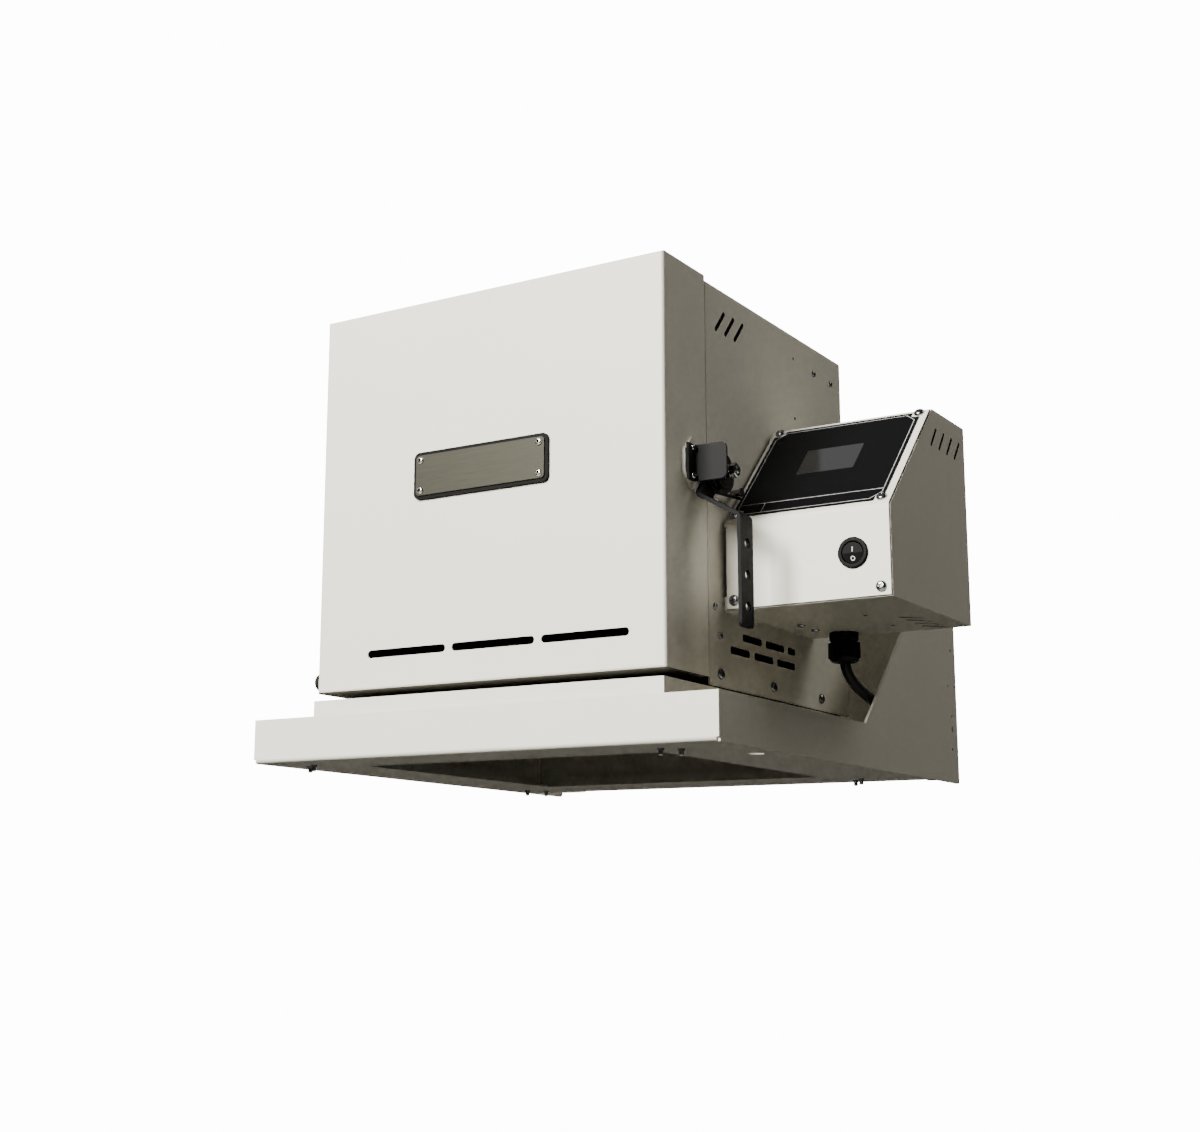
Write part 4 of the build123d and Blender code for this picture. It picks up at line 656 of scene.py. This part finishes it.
def fit(obj: bpy.types.Object, body: str, finish: Finish, slot: str, palette: Palette, *nodes: str) -> None:
    """Finish a new piece: its material, its body and the CAD nodes it stands for.

    Args:
        obj: the piece.
        body: the body it rides on.
        finish: its finish.
        slot: the record's material slot; not used.
        palette: the materials.
        nodes: CAD nodes that it replaces.
    """
    palette.dress(obj, finish)
    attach(obj, body)
    if nodes:
        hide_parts(*nodes)
    LOG.info("%s: %d faces", obj.name, len(obj.data.polygons))


HINGE_HEIGHTS = (22.0, 58.0, 143.0, 179.0)
HINGE_SCREW = Fastener(head_d=6.4, head_h=1.6, shank_d=3.4, shank_l=1.9)


@dataclass
class KilnBody:
    """Screws that hold the kiln's shell and its hinges."""

    left_x: float = -154.8
    right_x: float = 162.4
    wide_screws: tuple[tuple[float, float], ...] = ((-368.6, -50.1), (-278.6, -50.1), (-188.6, -50.1))
    small_screws: tuple[tuple[float, float], ...] = ((-376.4, -0.1), (-368.4, -21.2), (-187.9, 229.2),
                                                     (-153.5, 228.7))
    hinge_y: float = -368.3
    leaf: float = 2.0
    wide: Fastener = Fastener(head_d=8.2, head_h=2.5, shank_d=3.6, shank_l=1.4)
    small: Fastener = Fastener(head_d=5.6, head_h=1.7, shank_d=2.4, shank_l=1.4)

    def both_sides(self, spots: tuple[tuple[float, float], ...]) -> list[tuple[tuple, tuple]]:
        """Seats on the left and right walls for spots in Y and Z."""
        left = [((self.left_x, y, z), (-1, 0, 0)) for y, z in spots]
        return left + [((self.right_x, y, z), (1, 0, 0)) for y, z in spots]

    def build(self, palette: Palette) -> None:
        """Model the screws.

        Args:
            palette: the materials.
        """
        wide = self.wide.set_in("body_pan_screws", self.both_sides(self.wide_screws))
        small = self.small.set_in("body_small_screws", self.both_sides(self.small_screws))
        fit(joined("body_screw_set", [wide, small]), "kiln_body", ZINC, "zinc", palette, "body_screws")
        hinge = [((self.left_x - self.leaf, self.hinge_y, z), (-1, 0, 0)) for z in HINGE_HEIGHTS]
        screws = HINGE_SCREW.set_in("hinge_body_screw_set", hinge)
        fit(screws, "kiln_body", ZINC, "zinc", palette, "hinge_body_screws")


@dataclass
class Door:
    """Name-plate with its rivets, and the hinge screws on the door."""

    seat_y: float = -456.6
    hinge_x: float = -157.2
    hinge_y: float = -405.5
    rivet: Fastener = Fastener(head_d=5.8, head_h=1.7, shank_d=3.0, shank_l=4.8, drive=Drive.HOLLOW)

    def build(self, palette: Palette) -> None:
        """Model rivets, screws and the softened plates.

        Args:
            palette: the materials.
        """
        seats = [((x, self.seat_y, z), (0, -1, 0)) for x, z in RIVET_PLACES]
        fit(self.rivet.set_in("plate_rivets", seats), "door", RIVET, "zinc", palette, "nameplate_rivets")
        hinge = [((self.hinge_x, self.hinge_y, z), (-1, 0, 0)) for z in HINGE_HEIGHTS]
        screws = HINGE_SCREW.set_in("hinge_door_screw_set", hinge)
        fit(screws, "door", ZINC, "zinc", palette, "hinge_door_screws")
        plate = softened("nameplate", "bare_plate", 0.35)
        fit(plate, "door", BADGE, "badge_metal", palette)
        backing = softened("nameplate_backing", "plate_backing", 0.5)
        fit(backing, "door", NYLON_BLACK, "plastic_black", palette)


@dataclass
class Latch:
    """Stop screws and the painted bars with their worn-round edges."""

    seat_x: float = 167.8
    screw_y: float = -417.9
    screw_z: tuple[float, float] = (90.7, 112.1)
    screw: Fastener = Fastener(head_d=5.4, head_h=1.6, shank_d=3.2, shank_l=6.2)

    def build(self, palette: Palette) -> None:
        """Model the screws and soften the bars.

        Args:
            palette: the materials.
        """
        seats = [((self.seat_x, self.screw_y, z), (1, 0, 0)) for z in self.screw_z]
        fit(self.screw.set_in("latch_screw_set", seats), "door", ZINC, "zinc", palette, "latch_screws")
        fit(softened("latch_lever", "lever_bar", 0.45), "lever", LEVER_BLACK, "black_coat", palette)
        fit(softened("latch_stop", "stop_angle", 0.35), "door", SATIN_BLACK, "black_coat", palette)
        fit(softened("latch_plate", "seam_plate", 0.4), "door", POWDER_COAT, "powder_coat", palette)


@dataclass
class ControlBox:
    """Sloping display film with its printed lines, panel screws and switch marks."""

    front_y: float = -362.5
    bend_z: float = 66.0
    slope: float = math.radians(44.6)
    film_x: tuple[float, float] = (168.3, 290.0)
    film_s: tuple[float, float] = (4.8, 125.0)
    film_top: float = 0.5
    screw_x: tuple[float, float] = (171.6, 288.4)
    screw_s: tuple[float, float] = (8.5, 124.2)
    low_screw_z: float = 5.6
    screw: Fastener = Fastener(head_d=8.2, head_h=2.6, shank_d=3.6, shank_l=5.1)
    small_screw: Fastener = Fastener(head_d=6.4, head_h=1.8, shank_d=3.4, shank_l=2.6)
    below: tuple[tuple[float, float, float], ...] = ((184.6, -272.5, -1.8), (184.6, -246.0, -1.8))
    line_w: float = 0.55
    line_h: float = 0.05
    line_inset: float = 2.6
    corner_cut: float = 8.0
    strip_high: float = 12.4
    strip_split: float = 21.0
    switch: tuple[float, float] = (267.65, 32.0)
    rocker_front: float = -364.28
    rocker_tilt: float = math.radians(13.2)
    mark_lift: float = 0.07
    mark_thick: float = 0.12
    bar_up: float = 2.4
    bar_size: tuple[float, float] = (0.72, 3.6)
    ring_r: float = 1.75
    ring_w: float = 0.62
    ring_reach: float = 4.0
    ridge_drop: float = 0.34

    def on_slope(self) -> Matrix:
        """Matrix from the slope's own X, up-slope and outward axes to the frame."""
        s, c = math.sin(self.slope), math.cos(self.slope)
        turn = Matrix(((1, 0, 0), (0, s, -c), (0, c, s)))
        return Matrix.Translation((0, self.front_y * MM, self.bend_z * MM)) @ turn.to_4x4()

    def bar(self, x0: float, x1: float, s0: float, s1: float) -> bpy.types.Object:
        """Print one straight line on the film.

        Args:
            x0: left end.
            x1: right end.
            s0: lower edge, up the slope.
            s1: upper edge, up the slope.

        Returns:
            The line as a thin raised layer in the slope's axes.
        """
        deselect()
        centre = ((x0 + x1) / 2 * MM, (s0 + s1) / 2 * MM, (self.film_top + self.line_h / 2) * MM)
        bpy.ops.mesh.primitive_cube_add(size=1.0, location=centre,
                                        scale=((x1 - x0) * MM, (s1 - s0) * MM, self.line_h * MM))
        line = settle(bpy.context.view_layer.objects.active)
        high = centre[2]
        choose_edges(line, lambda a, b: min(a.z, b.z) > high)
        bpy.ops.mesh.bevel(offset=0.02 * MM, segments=1)
        leave_edit()
        return line

    def border(self, inset: float, corner: float) -> bpy.types.Object:
        """Print the line round the film, cut across at its corners.

        Args:
            inset: distance inside the film's edge.
            corner: how much each corner is cut.

        Returns:
            The border as a thin raised ring in the slope's axes.
        """
        x0, x1 = self.film_x[0] + inset, self.film_x[1] - inset
        s0, s1 = self.film_s[0] + inset, self.film_s[1] - inset
        deselect()
        bpy.ops.mesh.primitive_plane_add(size=1.0, location=((x0 + x1) / 2 * MM, (s0 + s1) / 2 * MM,
                                                             self.film_top * MM))
        ring = bpy.context.view_layer.objects.active
        ring.scale = ((x1 - x0) * MM, (s1 - s0) * MM, 1.0)
        settle(ring)
        choose_faces(ring, lambda face: True)
        bpy.ops.mesh.bevel(offset=corner * MM, segments=1, affect="VERTICES")
        leave_edit()
        choose_faces(ring, lambda face: True)
        bpy.ops.mesh.inset(thickness=self.line_w * MM)
        bpy.ops.mesh.delete(type="FACE")
        leave_edit()
        choose_faces(ring, lambda face: True)
        bpy.ops.mesh.extrude_region_move(TRANSFORM_OT_translate={"value": (0, 0, self.line_h * MM)})
        bpy.ops.mesh.select_all(action="SELECT")
        bpy.ops.mesh.normals_make_consistent(inside=False)
        leave_edit()
        return ring

    def printed_lines(self, palette: Palette) -> None:
        """Lay the silver lines on the film.

        Args:
            palette: the materials.
        """
        inset = self.line_inset
        x0, x1 = self.film_x[0] + inset, self.film_x[1] - inset
        s0 = self.film_s[0] + inset
        s1 = s0 + self.strip_high
        split = x0 + self.strip_split
        lines = [self.border(inset, self.corner_cut), self.bar(x0, x1, s1, s1 + self.line_w),
                 self.bar(split, split + self.line_w, s0, s1)]
        print_layer = joined("film_printed_lines", lines)
        print_layer.matrix_world = self.on_slope()
        settle(print_layer)
        fit(print_layer, "kiln_body", SILVER_INK, "badge_metal", palette)

    def switch_marks(self, palette: Palette) -> None:
        """Print the on bar and the off ring on the rocker's two faces.

        Args:
            palette: the materials.
        """
        x, z = self.switch
        middle = (self.rocker_front - self.mark_lift) * MM
        wide, high = self.bar_size
        deselect()
        bpy.ops.mesh.primitive_cube_add(size=1.0, location=(x * MM, middle, (z + self.bar_up) * MM),
                                        scale=(wide * MM, self.mark_thick * MM, high * MM))
        bar = settle(bpy.context.view_layer.objects.active)
        choose_edges(bar, lambda a, b: max(a.y, b.y) < middle)
        bpy.ops.mesh.bevel(offset=0.04 * MM, segments=1)
        leave_edit()
        deselect()
        bpy.ops.mesh.primitive_cylinder_add(vertices=32, radius=self.ring_r * MM, depth=self.mark_thick * MM)
        ring = settle(bpy.context.view_layer.objects.active)
        choose_faces(ring, lambda face: abs(face.normal.z) > FACING)
        bpy.ops.mesh.inset(thickness=self.ring_w * MM)
        bpy.ops.mesh.bridge_edge_loops()
        leave_edit()
        s, c = math.sin(self.rocker_tilt), math.cos(self.rocker_tilt)
        y = self.rocker_front + self.ring_reach * s - self.mark_lift * c
        low = z - self.ridge_drop - self.ring_reach * c - self.mark_lift * s
        turn = Matrix.Rotation(math.pi / 2 + self.rocker_tilt, 4, "X")
        ring.matrix_world = Matrix.Translation(Vector((x, y, low)) * MM) @ turn
        settle(ring)
        fit(joined("rocker_marks", [bar, ring]), "rocker", MARK_WHITE, "plastic_white", palette)

    def build(self, palette: Palette) -> None:
        """Model the screws, printed lines and marks.

        Args:
            palette: the materials.
        """
        tilt = (0, -math.cos(self.slope), math.sin(self.slope))
        seats = []
        for x in self.screw_x:
            for s in self.screw_s:
                seat = (x, self.front_y + s * math.sin(self.slope), self.bend_z + s * math.cos(self.slope))
                seats.append((seat, tilt))
            seats.append(((x, self.front_y, self.low_screw_z), (0, -1, 0)))
        screws = self.screw.set_in("panel_screws_front", seats)
        below = self.small_screw.set_in("panel_screws_below", [(at, (0, 0, -1)) for at in self.below])
        fit(joined("panel_screw_set", [screws, below]), "kiln_body", ZINC, "zinc", palette, "panel_screws")
        bezel = softened("switch_body", "switch_moulding", width=0.7, segments=4)
        fit(bezel, "kiln_body", NYLON_GLOSS, "plastic_black", palette)
        self.printed_lines(palette)
        self.switch_marks(palette)


# Supply cord

@dataclass
class SupplyCord:
    """The mains lead: out of the gland, down behind the bracket, coiled on the tray, then the plug."""

    diameter: float = 8.3
    half_turns: int = 11
    lead: tuple[tuple[float, float, float], ...] = (
        (197.15, -219.0, -19.6), (197.15, -219.0, -27.8), (198.3, -213.6, -36.4), (200.2, -204.5, -43.6),
        (202.0, -192.0, -48.6), (202.6, -176.0, -52.4), (202.2, -160.0, -58.0), (199.0, -145.0, -67.4),
        (191.0, -132.5, -79.0), (177.0, -125.0, -90.5), (159.0, -121.8, -98.2), (138.0, -121.4, -101.6),
        (110.0, -122.6, -103.35), (78.0, -123.2, -103.35), (46.0, -121.8, -103.35),
    )
    tail: tuple[tuple[float, float, float], ...] = (
        (44.0, -34.2, -76.65), (66.0, -38.0, -79.4), (86.0, -48.0, -85.6),
        (103.0, -61.5, -92.4), (121.0, -68.0, -95.4), (140.0, -68.0, -95.4),
    )
    coil_centre: tuple[float, float] = (20.0, -78.0)
    coil_radius: float = 43.8
    coil_pitch: float = 10.8
    coil_lift: float = 8.9
    coil_floor: float = -103.35
    points_per_half: int = 7

    def coil(self) -> list[tuple[float, float, float]]:
        """Control points of the loops, spiralling in and out, a layer higher at each turning back.

        Returns:
            Points in millimetres.
        """
        points = []
        radius, height, angle, step = self.coil_radius, self.coil_floor, -math.pi / 2, -self.coil_pitch / 2
        bulge = 1.0 / math.cos(math.pi / self.points_per_half / 2) ** 0.5
        for half in range(self.half_turns):
            climbing = half % 3 == 2
            grow = 0.0 if climbing else step
            lift = self.coil_lift if climbing else 0.0
            for i in range(self.points_per_half):
                t = (i + 0.5) / self.points_per_half
                ease = t * t * (3 - 2 * t)
                r = (radius + grow * t) * bulge
                a = angle - math.pi * t
                x = self.coil_centre[0] + r * math.cos(a)
                y = self.coil_centre[1] + r * math.sin(a)
                points.append((x, y, height + lift * ease))
            radius += grow
            height += lift
            angle -= math.pi
            if climbing:
                step = -step
        return points

    def build(self, palette: Palette) -> bpy.types.Object:
        """Lay the cord as one smooth spline.

        Args:
            palette: the materials.

        Returns:
            The cord's curve object.
        """
        data = bpy.data.curves.new("supply_cord", "CURVE")
        data.dimensions = "3D"
        data.bevel_depth = self.diameter / 2 * MM
        data.bevel_resolution = 6
        data.resolution_u = 6
        data.use_fill_caps = True
        route = list(self.lead) + self.coil() + list(self.tail)
        spline = data.splines.new("NURBS")
        spline.points.add(len(route) - 1)
        for point, place in zip(spline.points, route):
            point.co = (place[0] * MM, place[1] * MM, place[2] * MM, 1.0)
        spline.order_u = 3
        spline.use_endpoint_u = True
        cord = bpy.data.objects.new("supply_cord", data)
        bpy.context.scene.collection.objects.link(cord)
        data.materials.append(palette.get(JACKET))
        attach(cord, "kiln_body")
        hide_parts("power_cord_lead", "cord_coil", "power_cord_tail")
        LOG.info("cord of %d points", len(route))
        return cord


# Studio

@dataclass
class Studio:
    """Camera, soft lights, pale floor and white surround."""

    place: tuple[float, float, float] = (766.9, -1549.6, -225.0)
    azimuth: float = 33.8222
    elevation: float = 11.3558
    roll: float = 0.5258
    focal_px: float = 1784.9
    centre_px: tuple[float, float] = (512.83, 553.80)
    image: tuple[int, int] = (1200, 1132)
    floor_z: float = -1650.0

    def camera(self) -> bpy.types.Object:
        """Set the camera where the photograph was taken.

        Returns:
            The camera object.
        """
        az, el, ro = (math.radians(v) for v in (self.azimuth, self.elevation, self.roll))
        ahead = Vector((-math.sin(az) * math.cos(el), math.cos(az) * math.cos(el), math.sin(el)))
        right = Vector((math.cos(az), math.sin(az), 0.0))
        up = right.cross(ahead)
        side = right * math.cos(ro) + up * math.sin(ro)
        top = up * math.cos(ro) - right * math.sin(ro)
        turn = Matrix((side, top, -ahead)).transposed()
        data = bpy.data.cameras.new("studio_camera")
        width, height = self.image
        data.sensor_width = 36.0
        data.lens = self.focal_px / width * 36.0
        data.shift_x = (width / 2 - self.centre_px[0]) / width
        data.shift_y = (self.centre_px[1] - height / 2) / width
        data.clip_start = 0.05
        data.clip_end = 100.0
        camera = bpy.data.objects.new("studio_camera", data)
        camera.matrix_world = Matrix.Translation(Vector(self.place) * MM) @ turn.to_4x4()
        bpy.context.scene.collection.objects.link(camera)
        bpy.context.scene.camera = camera
        return camera

    def lamp(self, name: str, place: tuple[float, float, float], size: float, power: float,
             colour: str = "FFFFFF") -> None:
        """Hang one soft square lamp aimed at the object.

        Args:
            name: the lamp's name.
            place: its centre in metres.
            size: its side in metres.
            power: its power in watts.
            colour: its colour.
        """
        data = bpy.data.lights.new(name, "AREA")
        data.energy = power
        data.size = size
        data.color = linear(colour)[:3]
        lamp = bpy.data.objects.new(name, data)
        aim = Vector((0.0, -0.25, 0.05)) - Vector(place)
        lamp.rotation_euler = aim.to_track_quat("-Z", "Y").to_euler()
        lamp.location = place
        bpy.context.scene.collection.objects.link(lamp)

    def surround(self) -> None:
        """Lay the pale floor and the white shell that only the camera sees."""
        deselect()
        bpy.ops.mesh.primitive_plane_add(size=6.0, location=(0.0, -1.0, self.floor_z * MM))
        floor = settle(bpy.context.view_layer.objects.active)
        floor.name = "studio_floor"
        floor.visible_diffuse = False
        paint = bpy.data.materials.new("floor_paint")
        paint.use_nodes = True
        paint.node_tree.nodes["Principled BSDF"].inputs["Base Color"].default_value = linear("E8E7E3")
        paint.node_tree.nodes["Principled BSDF"].inputs["Roughness"].default_value = 0.8
        floor.data.materials.append(paint)
        deselect()
        bpy.ops.mesh.primitive_uv_sphere_add(segments=32, ring_count=16, radius=20.0)
        shell = settle(bpy.context.view_layer.objects.active)
        shell.name = "studio_white"
        glow = bpy.data.materials.new("white_surround")
        glow.use_nodes = True
        tree = glow.node_tree
        tree.nodes.clear()
        light = add_node(tree, "ShaderNodeEmission", inputs={"Color": (1, 1, 1, 1), "Strength": 14.0})
        add_node(tree, "ShaderNodeOutputMaterial", inputs={"Surface": light.outputs["Emission"]})
        shell.data.materials.append(glow)
        shell.visible_diffuse = False
        shell.visible_glossy = False
        shell.visible_shadow = False
        shell.visible_transmission = False

    def build(self) -> None:
        """Set camera, lamps, world light and surround."""
        self.camera()
        world = bpy.data.worlds.new("studio_world")
        world.use_nodes = True
        tree = world.node_tree
        sky = tree.nodes["Background"]
        sky.inputs["Color"].default_value = linear("F6EFE2")
        toward = add_node(tree, "ShaderNodeTexCoord").outputs["Generated"]
        parts = add_node(tree, "ShaderNodeSeparateXYZ", inputs={"Vector": toward})
        glow = add_node(tree, "ShaderNodeMapRange",
                        inputs={"Value": parts.outputs["Z"], "From Min": -0.7, "From Max": 0.5,
                                "To Min": 0.018, "To Max": 0.06})
        tree.links.new(glow.outputs["Result"], sky.inputs["Strength"])
        bpy.context.scene.world = world
        self.lamp("key", (-0.5, -3.3, 1.45), 1.4, 460.0, "FFFCF5")
        self.lamp("side_fill", (2.0, 0.75, 1.7), 1.3, 21.0, "FFFAF0")
        self.lamp("ceiling", (-0.62, 0.2, 2.08), 1.5, 3.2)
        self.surround()


def main() -> None:
    """Dress the CAD nodes, build the pieces and report them."""
    logging.basicConfig(level=logging.INFO, format="%(name)s: %(message)s")
    palette = Palette()
    dress_nodes(palette)
    SupplyCord().build(palette)
    for assembly in (KilnBody(), Door(), Latch(), ControlBox()):
        LOG.info("building %s", type(assembly).__name__)
        assembly.build(palette)
    Studio().build()
    LOG.info("scene ready")


if __name__ == "__main__":
    main()
